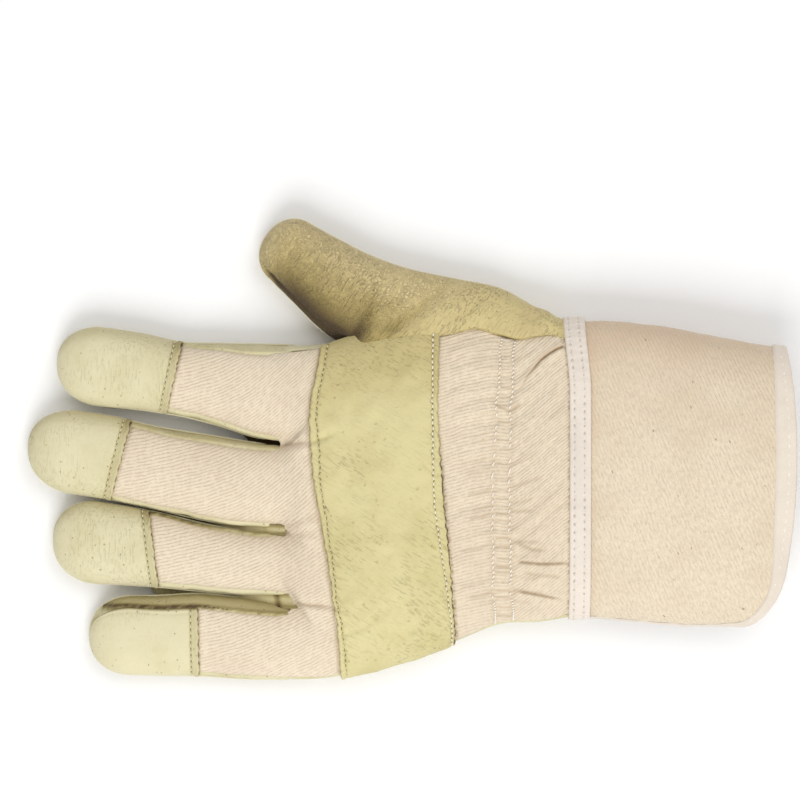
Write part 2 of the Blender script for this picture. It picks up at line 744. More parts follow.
def hand_rows(end):
    """Stations from the slits' ends to the end of the canvas under the strap."""
    return end + np.linspace(0, 1, 50)[:, None] * (CANVAS_SPLIT_X - end)


def slit_columns(before, finger):
    """The sheet's columns behind the slit of two fingers: where they start, and their places, which sag."""
    t = np.linspace(0, 1, 8)[None, 1:-1]
    high, low = slit_y(before, -1.0), slit_y(finger, 1.0)
    end = web_x(high + (low - high) * t) + 1.8 * np.sin(np.pi * t)
    x = hand_rows(end)
    high, low = canvas_place(before, x, -1.0), canvas_place(finger, x, 1.0)
    columns = high + (low - high) * t[..., None]
    columns[..., 2] -= 0.9 * np.sin(np.pi * t)
    return end, columns


def canvas_grids():
    """Twill back: four strips over the fingers that run into one sheet over the hand. The sheet's columns
    start as the strips' columns with a fold in each slit and spread evenly over the hand. The slits end
    round."""
    strips, tones = map(list, zip(*[finger_strip(finger) for finger in FINGERS.values()]))
    parts = []
    before = None
    for finger in FINGERS.values():
        if before:
            parts.append(slit_columns(before, finger))
        share = canvas_shares(finger)
        end = slit_end(finger, share)
        parts.append((end, canvas_place(finger, hand_rows(end), share)))
        before = finger
    end, fingers_side = (np.concatenate(part, axis=1) for part in zip(*parts))
    x = hand_rows(end)
    section = hand_section(x)
    first = angle_of(section, seam_y(x) - 0.2)
    last = angle_of(section, section["y"] - section["half"] + 0.8)
    spread = np.linspace(0, 1, x.shape[1])[None, :]
    hand_side = on_hand(x, first + (last - first) * spread)
    open_out = smooth(x, end, -29)[..., None]
    sheet = fingers_side * (1 - open_out) + hand_side * open_out
    rise = smooth(x, end, -33)
    x_at, y_at = sheet[..., 0], sheet[..., 1]
    sheet[..., 2] = sheet[..., 2] * (1 - rise) + hand_height(x_at, y_at) * rise
    sheet[..., 2] += (1 - open_out[..., 0]) * back_relief(x_at, y_at) * smooth(x, end, end + 3)
    marks = folds_at(x_at, y_at, BACK_MARKS)[1]
    under_strap = 0.45 * bump(x_at - read(STRAP, "finger", y_at) + 0.3, 0.6)
    tones.append(np.clip(marks + under_strap, 0, 0.8) * smooth(x, end, end + 1))
    return [*strips, sheet], tones


# Dark marks beside the slits, as lines for folds_at
BACK_MARKS = (
    ([(-47, 0.8), (-42, 2.0), (-35, 2.8)], 0.6, 0.0, 0.55),
    ([(-43, -51.8), (-37, -53.2), (-27, -53.8)], 0.6, 0.0, 0.6),
    ([(-44, -27.0), (-37, -24.5), (-30, -22)], 1.0, 0.0, 0.2),
)


def hand_height(x, y, lift=0.0):
    """Height of the back of the hand over a place in plan."""
    section = hand_section(x)
    return on_hand(x, angle_of(section, y), lift)[..., 2]


SLITS = table(
    "from_x start end sag tone deep corner",
    (-56, 3.0, 7.0, 1.0, 1.0, 1.0, 0.0),
    (-91, 3.0, 14.2, 1.6, 0.3, 1.0, 0.1),
    (-88, 4.0, 14.0, 1.6, 0.25, 0.4, 0.4),
)


def web_grids():
    """Leather gussets in the slits, which run between the walls of two fingers and rise to the end of their
    slit, and their tones: darkest where they lie deep and beside the walls."""
    names = list(FINGERS)
    grids, tones = [], []
    for first, second, slit in zip(names[:-1], names[1:], SLITS):
        share = np.linspace(0, 1, 60)[:, None]
        across = np.linspace(0, 1, 13)[None, :]
        upper, lower = FINGERS[first], FINGERS[second]
        end = web_x(read(lower["rows"], "y", WEB_X) + read(lower["rows"], "half", WEB_X)) + 3.6
        x = slit["from_x"] + share * (end - slit["from_x"]) - 5 * (1 - share) * (1 - across) ** 2
        one, other = finger_section(upper, x), finger_section(lower, x)
        high = one["y"] - one["half"] + 1.6
        low = other["y"] + other["half"] - 1.6
        y = high + (low - high) * across
        z = slit["start"] + (slit["end"] - slit["start"]) * share**2 - slit["sag"] * np.sin(np.pi * across)
        z = z + 0.25 * ripples(x, y, 9, 24)
        grids.append(joined(x, y, z))
        deep = slit["deep"] * smooth(0.75 - share, 0.0, 0.5)
        side = np.maximum(bump(across, 0.25), bump(1 - across, 0.25))
        tones.append(np.maximum(slit["tone"], deep) + 0.35 * side + slit["corner"] * bump(share - 0.86, 0.02))
    return grids, tones


# Hand, thumb, strap and wrist


def palm_grid():
    """Palm leather: the hand's section from the little side under the hand to the thumb seam. Its front
    edge lies close round the fingers."""
    x = np.linspace(PALM_FRONT_X, HAND_END_X, 120)[:, None]
    section = hand_section(x)
    first = angle_of(section, section["y"] - section["half"] + 0.7)
    beside = 2 * np.pi + angle_of(section, seam_y(x) + 0.1)
    under = angle_of(section, seam_y(x) - 0.5, top=False)
    last = beside + (under - beside) * smooth(x, -30, -25)
    share = steps_with_edges(PALM_GIRTH, 1.2)[None, :]
    angle = first + (last - first) * share
    tuck = smooth(share, 0.97, 1.0) * smooth(x, -28, -25) + 0.5 * smooth(share, 0.006, 0.0)
    tuck = tuck + 0.9 * smooth(PALM_FRONT_X + 4 - x, 0, 4)
    y, z = oval(section, angle)
    lower = smooth(-np.sin(angle), -0.1, 0.3)
    dents = 0.22 * ripples(x, y, 26, 31) + 0.1 * ripples(x, y, 8, 32)
    folds = crease(x, y, [(-30, 30), (-10, 22), (12, 4), (24, -20)], 1.4, 0.7)
    folds = folds + crease(x, y, [(-28, -60), (-24, -30), (-26, 0), (-31, 22)], 1.4, 0.6)
    folds = folds + crease(x, y, [(30, -48), (33, -20), (31, 20)], 1.6, 0.6)
    y, z = oval(section, angle, np.minimum(dents - 0.2, 0.0) * lower * 0.8 - 0.8 * tuck)
    z = z + np.maximum(-folds, 0) * lower
    return joined(x, y, z)


def thumb_slices(v):
    """Centre, lean in radians, half width, top and middle height of the thumb's slices."""
    return {
        "x": read(THUMB, "x", v),
        "y": read(THUMB, "y", v),
        "lean": np.radians(read(THUMB, "lean", v)),
        "half": read(THUMB, "half", v),
        "top": read(THUMB, "top", v),
        "mid": 8.4 + 6.2 * smooth(v, 0.72, 1.0),
    }


def thumb_limits(cut):
    """How far from the outer side each slice reaches over the top: half a turn on the thumb itself, and
    from the crotch on only up to the seam with the back of the hand."""
    reach = -cut["half"]
    for _ in range(5):
        x = cut["x"] + reach * np.sin(cut["lean"])
        reach = (seam_y(x) - cut["y"]) / np.cos(cut["lean"])
    limited = reach > -cut["half"]
    share = np.clip(reach / cut["half"], -1, 1)
    limit = np.where(limited, np.arccos(signed_power(share, THUMB_POWER / 2)), np.pi)
    return limit, smooth(reach + cut["half"], 0.0, 4.0)


def thumb_folds(x, y):
    """Folds that run from the crotch and from the seam over the root of the thumb."""
    return (
        crease(x, y, [(12.4, 57.5), (7, 52.5), (1.2, 47.7), (-5, 43), (-13, 39.0)], 3.0, 1.0)
        + crease(x, y, [(26.5, 54.0), (22, 50), (17.4, 46.3), (12, 44)], 2.4, 0.6)
        + crease(x, y, [(37, 49), (40, 46), (46, 43.5)], 2.0, 0.4)
    )


def wrap_tone(x, from_seam):
    """Tone of the leather that wraps the hand: dark beside the seam, most of all at two places of it."""
    tone = 0.5 * bump(from_seam, 18) * smooth(x, 2, -20) + 0.2 * bump(from_seam, 0.7)
    return tone + 0.8 * smooth(0.7 - from_seam, 0, 0.7) * bump(x - 33, 4)


def drawn_to_hand(x, y, z):
    """Thumb leather is drawn to the hand's section where it dips under the joining tape."""
    hand = hand_section(x)
    at = np.arctan2((z - hand["mid"]) / (hand["top"] - hand["mid"]), (y - hand["y"]) / hand["half"])
    flat = joined(*oval(hand, at, 0.35))
    under_tape = smooth(x, 46, 53.5)
    return y + (flat[..., 0] - y) * under_tape, z + (flat[..., 1] - z) * under_tape


def thumb_grid():
    """Thumb leather: a sleeve of oval slices with a round end, which opens at the crotch and then wraps the
    thumb side of the hand from the seam on its back to the seam on its palm. It dips under the joining tape
    at its end. Its tone darkens the side towards the hand and the creases."""
    v = np.concatenate([np.zeros(THUMB_TIP_ROWS), np.linspace(0, 1, THUMB_ROWS)])[:, None]
    turn = np.concatenate([np.linspace(90, 5, THUMB_TIP_ROWS), np.zeros(THUMB_ROWS)])
    turn = np.radians(turn)[:, None]
    cut = thumb_slices(v)
    limit, opened = thumb_limits(cut)
    share = 2 * steps_with_edges(THUMB_GIRTH, 0.7)[None, :] - 1
    angle = -share * limit
    section = {
        "y": 0.0,
        "half": cut["half"],
        "mid": cut["mid"],
        "top": cut["top"],
        "power": THUMB_POWER,
        "floor": hand_section(cut["x"])["floor"],
    }
    reach, z = oval(section, angle)
    x = cut["x"] + reach * np.sin(cut["lean"])
    y = cut["y"] + reach * np.cos(cut["lean"])
    upper = smooth(np.sin(angle), -0.1, 0.3)
    lumps = 0.3 * ripples(x, y + z, 21, 41) + 0.08 * ripples(x, y + z, 7, 42)
    folds = thumb_folds(x, y) * upper
    from_seam = (share + 1) * limit * THUMB_RADIUS
    closed = (1 - opened) * np.cos(turn)
    crotch = smooth(x, -36, -25)
    groove = bump(from_seam - 5.2 - 1.5 * crotch, 1.4 + crotch)
    piping = closed * (0.3 * bump(from_seam - 1.0, 1.4) - 0.9 * groove)
    palm_edge = (1 - share) * limit * THUMB_RADIUS
    strap_zone = smooth(x, -34, -29) * smooth(x, 14, 10)
    roll = np.maximum(smooth(0.6 - from_seam, 0, 0.6) * (1 - strap_zone), smooth(0.6 - palm_edge, 0, 0.6))
    lift = lumps * upper + folds + piping - 0.9 * opened * roll * smooth(x, 50, 44)
    reach, z = oval(section, angle, lift * np.cos(turn) ** 0.5)
    shrink = np.maximum(np.cos(turn), 0) ** 0.9
    reach = reach * shrink
    z = 7 + (z - 7) * shrink
    forward = THUMB_ROUND * np.sin(turn)
    x = cut["x"] + reach * np.sin(cut["lean"]) - forward * np.cos(cut["lean"])
    y = cut["y"] + reach * np.cos(cut["lean"]) + forward * np.sin(cut["lean"])
    seam_z = hand_height(x[:, :1], y[:, :1], 1.1)
    fix = (seam_z - z[:, :1]) * opened * np.exp(-(((angle[:, :1] - angle) / 0.6) ** 2))
    z = np.maximum(z + fix, section["floor"])
    y, z = drawn_to_hand(x, y, z)
    dark_side = (0.4 * smooth(-share, 0.2, 0.55) + 0.6 * smooth(-share, 0.5, 0.86)) * smooth(x, -58, -38)
    line = bump(from_seam - 5.0 - 1.5 * crotch, 1.5 + crotch) * smooth(x, -52, -44) * smooth(x, -19, -24)
    tone = closed * (0.95 * dark_side + 1.3 * line) + opened * wrap_tone(x, from_seam)
    tone = tone + 0.22 * bump(x + 4, 12) * smooth(y, 57, 48) + 0.2 * hollows(folds, 4, 0.5)
    return joined(x, y, z), tone


def thumb_welt():
    """Outline of the thumb as one path: from the crotch round the tip and along the thumb's outer side."""
    grid, _ = thumb_grid()
    inner = grid[:CROTCH_ROW, 0][::-1]
    outer = grid[1:, grid.shape[1] // 2]
    return np.concatenate([inner, outer[outer[:, 0] < THUMB_WELT_END_X]]) + [0, 0, 0.1]


def strap_place(along, across, lift):
    """A place on the strap: along runs from the thumb's seam to the little side, across from its finger
    edge to its wrist edge. Its end goes on under the thumb leather. The place is found in passes: the seam
    depends on x."""
    along, across = np.broadcast_arrays(along, across)
    x = np.zeros(along.shape)
    for _ in range(5):
        section = hand_section(x)
        reach = np.minimum(seam_y(x) + 3.2 * smooth(x, -30, -25), section["y"] + section["half"] - 1.0) - 0.2
        first = angle_of(section, reach)
        angle = first + (np.pi - 0.12 - first) * along
        y, _ = oval(section, angle)
        finger = read(STRAP, "finger", y) + 0.18 * ripples(y, 0 * y, 6, 51) + 0.1 * ripples(y, 0 * y, 2.2, 52)
        wrist = read(STRAP, "wrist", y) + 0.2 * ripples(y, 0 * y, 4, 53) + 0.1 * ripples(y, 0 * y, 1.7, 54)
        x = finger + (wrist - finger) * across
    return on_hand(x, angle, lift)


def strap_wrinkles():
    """Short slanted wrinkles in the strap's lower half, each with its path, width, depth and tone."""
    chance = np.random.default_rng(58)
    lines = []
    for _ in range(24):
        x = chance.uniform(-24, 13)
        y = -66 + 52 * chance.uniform() ** 1.5
        slope = np.radians(chance.uniform(-44, -20))
        reach = chance.uniform(1.0, 3.2)
        step = np.array([np.cos(slope), np.sin(slope)]) * reach
        lines.append(([(x, y) - step, (x, y - 0.2), (x, y) + step], 0.28, 0.1, chance.uniform(0.12, 0.4)))
    lines.append(([(-22, 9.5), (-12, 5), (-6, 1.5)], 0.5, 0.15, 0.12))
    lines.append(([(3, -4), (7, -8), (11, -10)], 0.5, 0.2, 0.25))
    return lines


STRAP_WRINKLES = strap_wrinkles()


def strap_grid():
    """Leather band over the knuckles: rounded raw edges, a groove under each row of stitches, fine
    wrinkles. Its tone darkens edges, grooves, wrinkles and the end at the thumb."""
    along = steps_with_edges(STRAP_LENGTH, 0.6)[:, None]
    across = steps_with_edges(STRAP_WIDTH, 0.45)[None, :]
    plain = strap_place(along, across, 0.0)
    x, y = plain[..., 0], plain[..., 1]
    from_front, from_back = across * STRAP_WIDTH, (1 - across) * STRAP_WIDTH
    edge = np.minimum(from_front, from_back)
    end = (1 - along) * STRAP_LENGTH
    row = bump(from_front - read(STRAP, "front_row", y), 0.5)
    row = row + bump(from_back - read(STRAP, "back_row", y), 0.5)
    lift = STRAP_THICK - 1.1 * smooth(0.5 - edge, 0.0, 0.5) - 0.9 * smooth(1.6 - end, 0.0, 1.6) - 0.35 * row
    folds, tone = folds_at(x, y, STRAP_WRINKLES)
    slanted = 0.05 * ripples(x - 0.6 * y, 0.6 * x + y, 3.5, 55) * smooth(-y, 10, 50)
    swells = 0.1 * ripples(x, y, 10, 56) + slanted
    lift = lift + folds + swells + 0.25 * smooth(2.0 - edge, 0.0, 1.5)
    frayed = 0.7 + 0.5 * ripples(y, x, 1.4, 57)
    back = np.where(across > 0.5, 0.1 + 0.9 * smooth(-y, -12, 12), 0.45)
    raw = smooth(0.55 - edge, 0, 0.3) * back * frayed
    band = bump(from_back - 1.1, 0.8) * smooth(-y, -20, 20)
    tone = tone + raw + 0.12 * row + 0.1 * band + 0.1 * smooth(y, 10, 34)
    return strap_place(along, across, lift), tone


ELASTIC = table(
    "y one two",
    (-60, 28.6, 34.8),
    (-40, 28.0, 34.0),
    (-10, 28.0, 33.6),
    (14, 29.4, 34.2),
    (40, 31.0, 35.4),
)
ELASTIC_X = 31.0  # between the two rows
WRIST_DRIFT = table(
    "x rise",
    *((-10, -7.5), (9, -4.6), (20, -1.4), (28, 0.0)),
    *((34, 0.2), (40, 4.2), (50, 12.5), (58, 19.0)),
)


def rib_height(x, y):
    """Which rib of the twill passes a place of the wrist: the ribs drift up with x as the cloth is pulled
    in."""
    return y - read(WRIST_DRIFT, "rise", x)


def gather_relief(x, y):
    """Relief of the gathered wrist without its folds: low puckers that follow the ribs beside the two
    elastic rows, a pinch along each row, and soft swells where the cloth opens away from them."""
    one = x - read(ELASTIC, "one", y)
    two = x - read(ELASTIC, "two", y)
    rib = rib_height(x, y)
    wander = 0.9 * np.sin(rib / 9.0 + x / 23) + 0.7 * np.sin(rib / 4.1 + 1.3)
    beside = np.maximum(bump(one, 6.0), bump(two, 7.0))
    strong = np.clip(0.55 + 0.45 * ripples(rib, 0 * x, 11, 63), 0.1, 1.0)
    puckers = np.sin(2 * np.pi * rib / 3.3 + 1.6 * wander) * 0.1 * beside * strong
    puckers = puckers + 0.12 * np.sin(2 * np.pi * rib / 6.3 + 2 * wander) * (0.4 + beside)
    swells = 0.26 * ripples(rib * 1.6, x * 0.5, 17, 61) + 0.1 * ripples(rib * 2.2, x * 0.6, 7, 62)
    pinch = -0.35 * bump(one, 0.9) - 0.35 * bump(two, 0.9) + 0.15 * bump((one + two) / 2, 2.0)
    pinch = pinch + 0.5 * bump(one + 9, 5.5) + 0.6 * bump(two - 9, 5.0)
    return puckers + swells + pinch


DEEP_FOLD = table(
    "x y",
    *((52.6, 35.9), (50.1, 34.9), (47.2, 33.1), (44.3, 30.9), (42.1, 28.3)),
    *((39.9, 25.8), (38.5, 23.2), (36.2, 20.3), (33.8, 18.0)),
)


def wrist_folds():
    """Folds of the gathered canvas, each with its path, width, depth and tone: the two deep ones beside the
    tape, short ones between the elastic rows, and ones that fan out from the rows and fade."""
    lines = [
        ([(35.8, -38.2), (44, -38.9), (56, -38.6)], 0.5, 0.5, 0.8),
        ([(36.6, -48.5), (42, -49.4), (52, -51.2)], 0.45, 0.4, 0.7),
        ([(37.5, -42.0), (45, -42.8), (53, -43.6)], 0.6, 0.3, 0.25),
        ([(36.0, -31.6), (41, -33.8), (47, -34.4)], 0.6, 0.35, 0.35),
        ([(37.7, 16.3), (35.4, 14.5), (33.7, 13.2), (30.4, 14.9), (27.0, 17.2)], 0.5, 0.3, 0.4),
    ]
    chance = np.random.default_rng(65)
    for y in np.arange(33.0, -58.0, -2.9):
        level = y + chance.uniform(-0.6, 0.6)
        strong = chance.uniform(0.25, 1.0) * (0.55 + 0.45 * smooth(-y, -5, 25))
        one, two = read(ELASTIC, "one", level), read(ELASTIC, "two", level)
        middle = ((one + two) / 2 + chance.uniform(-1, 1), level + chance.uniform(-0.5, 0.5))
        short = chance.uniform(0.0, 1.2)
        path = [(one + short, level), middle, (two + 0.6, level - 0.3)]
        lines.append((path, 0.45, 0.3 * strong, 0.5 * strong))
    for y in np.arange(30.0, -56.0, -5.2):
        level = y + chance.uniform(-1.5, 1.5)
        strong = chance.uniform(0.2, 0.9) * (0.4 + 0.6 * smooth(-y, -5, 20))
        reach = chance.uniform(5, 13)
        one, two = read(ELASTIC, "one", level), read(ELASTIC, "two", level)
        bend = (one - 0.4 * reach, level - 0.2 * reach)
        path = [(one - reach, level - 0.28 * reach), bend, (one + 0.5, level)]
        lines.append((path, 0.55, 0.35 * strong, 0.4 * strong))
        rise = 0.55 * smooth(y, -30, 0) - 0.12 * smooth(-y, 34, 48)
        reach = chance.uniform(6, 15)
        bend = (two + 0.4 * reach, level + 0.3 * rise * reach)
        path = [(two - 0.3, level), bend, (two + reach, level + rise * reach)]
        lines.append((path, 0.6, 0.4 * strong, 0.35 * strong))
    return lines


WRIST_FOLDS = wrist_folds()


def wrist_relief(x, y):
    """Height and tone of the gathers, of the deep fold from the tape to the elastic, and of the other
    folds."""
    fold_x, fold_y = DEEP_FOLD["x"], DEEP_FOLD["y"]
    fold_far, share = line_distance(x, y, joined(fold_x, fold_y))
    deep = smooth(share, 0.0, 0.04) * smooth(1 - share, 0.0, 0.75)
    above = np.maximum(np.sign(y - np.interp(x, fold_x[::-1], fold_y[::-1])), 0)
    height, tone = folds_at(x, y, WRIST_FOLDS)
    height = height + gather_relief(x, y)
    height = height + deep * (0.6 * bump(fold_far - 1.6 * above, 2.6) - 1.1 * bump(fold_far, 0.55))
    tone = tone + deep * (1.0 * bump(fold_far, 0.34) + 0.25 * above * bump(fold_far - 0.8, 1.4))
    for row in ("one", "two"):
        tone = tone + 0.1 * bump(x - read(ELASTIC, row, y), 1.6)
    free = smooth(x, 11, 15) * smooth(HAND_END_X - 3.2 - x, 0.0, 3.5)
    return free * height, tone


def wrist_place(x, y_share, lift=0.0):
    """A place on the gathered canvas: the share runs from the thumb seam (0) to the little side (1)."""
    section = hand_section(x)
    first = angle_of(section, seam_y(x) + 0.6)
    last = angle_of(section, section["y"] - section["half"] + 0.8)
    angle = first + (last - first) * y_share
    y, _ = oval(section, angle)
    upper = smooth(np.sin(angle), 0.1, 0.5) * smooth(y_share, 0.0, 0.05)
    y, z = oval(section, angle, lift + wrist_relief(x, y)[0] * (0.15 + 0.85 * upper))
    return joined(x, y, z)


def wrist_grid():
    """Gathered canvas from under the strap to under the joining tape, its ribs as flat coordinates, and its
    tone: darker in the folds and along the strap and the tape."""
    x = np.concatenate([np.linspace(CANVAS_SPLIT_X, 8, 9)[:-1], np.linspace(8, HAND_END_X, 150)])[:, None]
    share = steps_with_edges(WRIST_GIRTH, 0.4)[None, :]
    lift = -0.8 * smooth(10 - x, 0, 4) - 0.5 * smooth(x, 50, 53)
    grid = wrist_place(x, share, lift)
    x, y = grid[..., 0], grid[..., 1]
    flat = joined(x, rib_height(x, y))
    _, tone = wrist_relief(x, y)
    frayed = smooth(ripples(y, 0 * y, 1.6, 64), -0.2, 0.7)
    beside_strap = bump(x - read(STRAP, "wrist", y) - 0.3, 0.6)
    tone = tone + (0.08 + 0.45 * smooth(-y, -12, 15)) * beside_strap * (0.5 + frayed)
    tone = tone + 0.55 * bump(x - TAPE_FROM - tape_shift(y) + 0.2, 0.4) * frayed
    return grid, flat, np.clip(tone, 0, 0.95)


def tape_shift(y):
    """How far the joining tape runs towards the fingers where it turns over the thumb side."""
    return -1.9 * smooth(y, 20, 46)


def tape_place(x, angle, lift):
    """A place on the joining tape; x is its station before the tape's shift."""
    y, _ = oval(hand_section(x), angle)
    moved = x + tape_shift(y)
    y, z = oval(hand_section(moved), angle, lift)
    return joined(moved, y, z)


def tape_grid():
    """Joining tape: a flat band with rolled edges, dimpled along its two rows of stitches."""
    x = np.linspace(TAPE_FROM, TAPE_TO, 26)[:, None]
    angle = np.linspace(0, 2 * np.pi, 541)[None, :]
    edge = np.minimum(x - TAPE_FROM, TAPE_TO - x)
    dimples = bump(x - TAPE_FROM - TAPE_ROWS[0], 0.45) * (0.5 + 0.5 * np.sin(angle * 108))
    dimples = dimples + bump(x - TAPE_FROM - TAPE_ROWS[1], 0.45) * (0.5 + 0.5 * np.sin(angle * 96))
    puckers = 0.05 * np.sin(angle * 61 + 2 * np.sin(angle * 7)) + 0.08 * np.sin(angle * 13)
    lift = 1.0 - 0.45 * smooth(0.5 - edge, 0, 0.5) - 0.25 * dimples + puckers
    return tape_place(x, angle, lift), 0.25 * np.clip(dimples - 0.25, 0, 1)


# Cuff

GIRTH_X = 95.0  # the section that the cuff's flat pattern is measured on
GIRTH_ANGLES = np.linspace(np.pi, -np.pi, 721) + SPLIT_TURN
GIRTH_PLACES = joined(*oval(hand_section(np.full(721, GIRTH_X)), GIRTH_ANGLES))
GIRTH_AT = passed_along(GIRTH_PLACES)
GIRTH = GIRTH_AT[-1]
BULGE_X = 125.0


def cuff_relief(s, x):
    """Stiff cloth is nearly even: long shallow swells and a slight dip beside the joining tape."""
    return 0.3 * ripples(s, x, 48, 71) + 0.1 * ripples(s, x, 14, 72) - 0.35 * bump(x - TAPE_TO, 3.0)


def cuff_place(s, x, lift=0.0):
    """A place of the cuff's flat pattern, s round the arm from the split over the top, x along it, bent
    round."""
    angle = np.interp(s, GIRTH_AT, GIRTH_ANGLES)
    y, z = oval(hand_section(x), angle, lift + cuff_relief(s, x))
    return joined(x, y, z)


def cuff_reach(s):
    """How far the pattern reaches along the arm: it bulges at its middle and is rounded off at the split."""
    middle = cuff_place(s, np.full_like(s, BULGE_X))[..., 1]
    inset = np.minimum(s, GIRTH - s) - SPLIT_HALF_GAP
    back = np.clip(1 - inset / CORNER_AROUND, 0, 1)
    bulge = CUFF_END_BULGE * np.where(middle > -1, 0.86, 1.0)
    return CUFF_END_X - bulge * (middle + 1) ** 2 - CORNER_ALONG * (1 - np.sqrt(1 - back**2))


def cuff_stations(corner, middle):
    """Places round the arm, closer in the rounded corners."""
    turn = np.linspace(0, np.pi / 2, corner)
    first = SPLIT_HALF_GAP + CORNER_AROUND * (1 - np.cos(turn))
    between = np.linspace(first[-1], GIRTH - first[-1], middle)[1:-1]
    return np.concatenate([first, between, (GIRTH - first)[::-1]])


def cuff_grid():
    """Outer face of the cuff, its flat pattern as flat coordinates, and its tone: soiled towards the thumb
    side."""
    s = cuff_stations(20, 150)[:, None]
    t = np.linspace(0, 1, 70)[None, :]
    x = CUFF_START_X + (cuff_reach(s) - 0.3 - CUFF_START_X) * t
    grid = cuff_place(np.broadcast_to(s, x.shape), x)
    y = grid[..., 1]
    tone = 0.75 * smooth(y, 20, 44) + 0.22 * smooth(y, -15, 20) + 0.1 * ripples(x, y, 20, 73)
    tone = tone + 0.35 * bump(x - TAPE_TO, 2.0)
    flat = joined(x, s)
    return np.swapaxes(grid, 0, 1), np.swapaxes(flat, 0, 1), tone.T


BINDING_LEG = 6.2
BINDING_THICK = 0.75
BINDING_ROW = 2.1  # its row of stitches, from the edge of the outer leg
LEG_ROWS = 9
BINDING_WIDTHS = table(
    "y leg",
    (-62, 2.6),
    (-56, 2.8),
    (-50, 3.3),
    (-42, 4.4),
    (-24, 6.1),
    (10, 6.5),
    (28, 5.2),
    (36, 4.3),
)


def binding_path():
    """Edge of the cuff's pattern from the tape along the split, round the open end and back."""
    start = TAPE_TO + 0.3
    first = cuff_reach(np.array([SPLIT_HALF_GAP]))[0]
    side = np.linspace(start, first - 0.5, 36)
    s = cuff_stations(30, 200)
    return (
        np.concatenate([np.full(36, SPLIT_HALF_GAP), s[1:-1], np.full(36, GIRTH - SPLIT_HALF_GAP)]),
        np.concatenate([side, cuff_reach(s[1:-1]), side[::-1]]),
    )


def binding_place(s, x, inward, lift):
    """A place beside the pattern's edge: inward from it in the cloth, and lifted over the cloth."""
    run = unit(joined(np.gradient(s), np.gradient(x)))
    s_at = s[:, None] + inward * run[:, 1:]
    x_at = x[:, None] - inward * run[:, :1]
    return cuff_place(s_at, x_at, lift)


def binding_grid():
    """Folded tape round the edge: a leg on the outside, a round fold past the edge and a leg inside."""
    s, x = binding_path()
    leg = np.linspace(0, 1, LEG_ROWS)
    no_legs = np.zeros(LEG_ROWS)
    at_end = smooth(x, 108, 118)[:, None]
    end_leg = read(BINDING_WIDTHS, "leg", cuff_place(s, x)[..., 1])[:, None]
    wide = BINDING_LEG + at_end * (end_leg - BINDING_LEG)
    fold = np.linspace(0, np.pi, 13)[1:-1]
    no_fold = np.zeros(len(fold))
    half = CUFF_WALL / 2 + BINDING_THICK
    turn = -BINDING_THICK * np.sin(fold) + 0 * wide
    inward = np.concatenate([wide * (1 - leg), turn, wide * leg], axis=1)
    lift = np.concatenate([no_legs + half, half * np.cos(fold), no_legs - half]) - CUFF_WALL / 2
    hem = np.concatenate([smooth(0.8 - leg * BINDING_LEG, 0, 0.8), no_fold, no_legs])
    row = np.concatenate([bump(BINDING_LEG * (1 - leg) - BINDING_ROW, 0.5), no_fold, no_legs])
    passed = passed_along(joined(s, x))[:, None]
    puckers = 0.03 * np.sin(passed * 2 * np.pi / 4.9 + np.sin(passed / 7)) + 0.05 * ripples(passed, 0, 11, 81)
    profile = lift - 0.7 * hem - 0.15 * row + puckers * np.sign(lift + CUFF_WALL / 2)
    grid = binding_place(s, x, inward, profile)
    flat = joined(passed, passed_along(joined(inward[0], lift)))
    return grid, flat


# Stitches


def cap_stitches(finger):
    """The row across a fingertip cap, a little before its back edge."""
    share = np.linspace(0.97, -0.97, 60)[:, None]
    station = seam_x(finger, share) - 2.6 + np.array([-0.4, 0.0, 0.4])[None, :]
    first = cap_limit(finger, station)
    angle = np.maximum(np.arccos(signed_power(share, FINGER_POWER / 2)), first + 0.12)
    return stitches_along(*path_ups(finger_point(finger, station, 0.0, angle, 0.4)), 2.1, 0.66)


def strap_stitches(row, fill):
    """A row along the strap: the front one beside its finger edge or the back one beside its wrist edge."""
    along = np.linspace(0.012, 0.975, 300)[:, None]
    y = strap_place(along, 0.5, 0.0)[..., 1]
    far = read(STRAP, row, y) / STRAP_WIDTH
    across = (far if row == "front_row" else 1 - far) + np.array([-0.01, 0.0, 0.01])[None, :]
    strip = strap_place(along, across, STRAP_THICK - 0.12)
    return stitches_along(*path_ups(strip), 1.95, fill)


def elastic_stitches(row):
    """Thread of an elastic row: short slanted stitches, which dip under the cloth here and there."""
    share = np.linspace(0.02, 0.98, 116)[:, None]
    y = wrist_place(np.full_like(share, ELASTIC_X), share)[..., 1]
    swing = 0.26 * (-1.0) ** np.arange(len(share))[:, None]
    x = read(ELASTIC, row, y) + swing + 0.3 * ripples(y, 0 * y, 14, 93)
    places = wrist_place(x, share, 0.36)[:, 0]
    starts, ends = places[:-1:2], places[1::2]
    shown = np.random.default_rng(91).uniform(size=len(starts)) < 0.92
    ups = np.broadcast_to([0.0, 0.0, 1.0], starts.shape)
    return starts[shown], (1.3 * ends - 0.3 * starts)[shown], ups[shown]


def tape_stitches(x, pitch):
    """A row round the joining tape: short threads sunk in the dimples, each a little askew."""
    angle = np.linspace(0, 2 * np.pi, 720)[:, None]
    places = tape_place(x + 0 * angle, angle, 0.84)[:, 0]
    normal = joined(0.0, np.cos(angle[:, 0]), np.sin(angle[:, 0]))
    starts, ends, ups = stitches_along(places, normal, pitch, 0.36)
    askew = np.random.default_rng(92).uniform(-0.25, 0.25, len(starts))
    starts[:, 0] -= askew
    ends[:, 0] += askew
    return starts, ends, ups


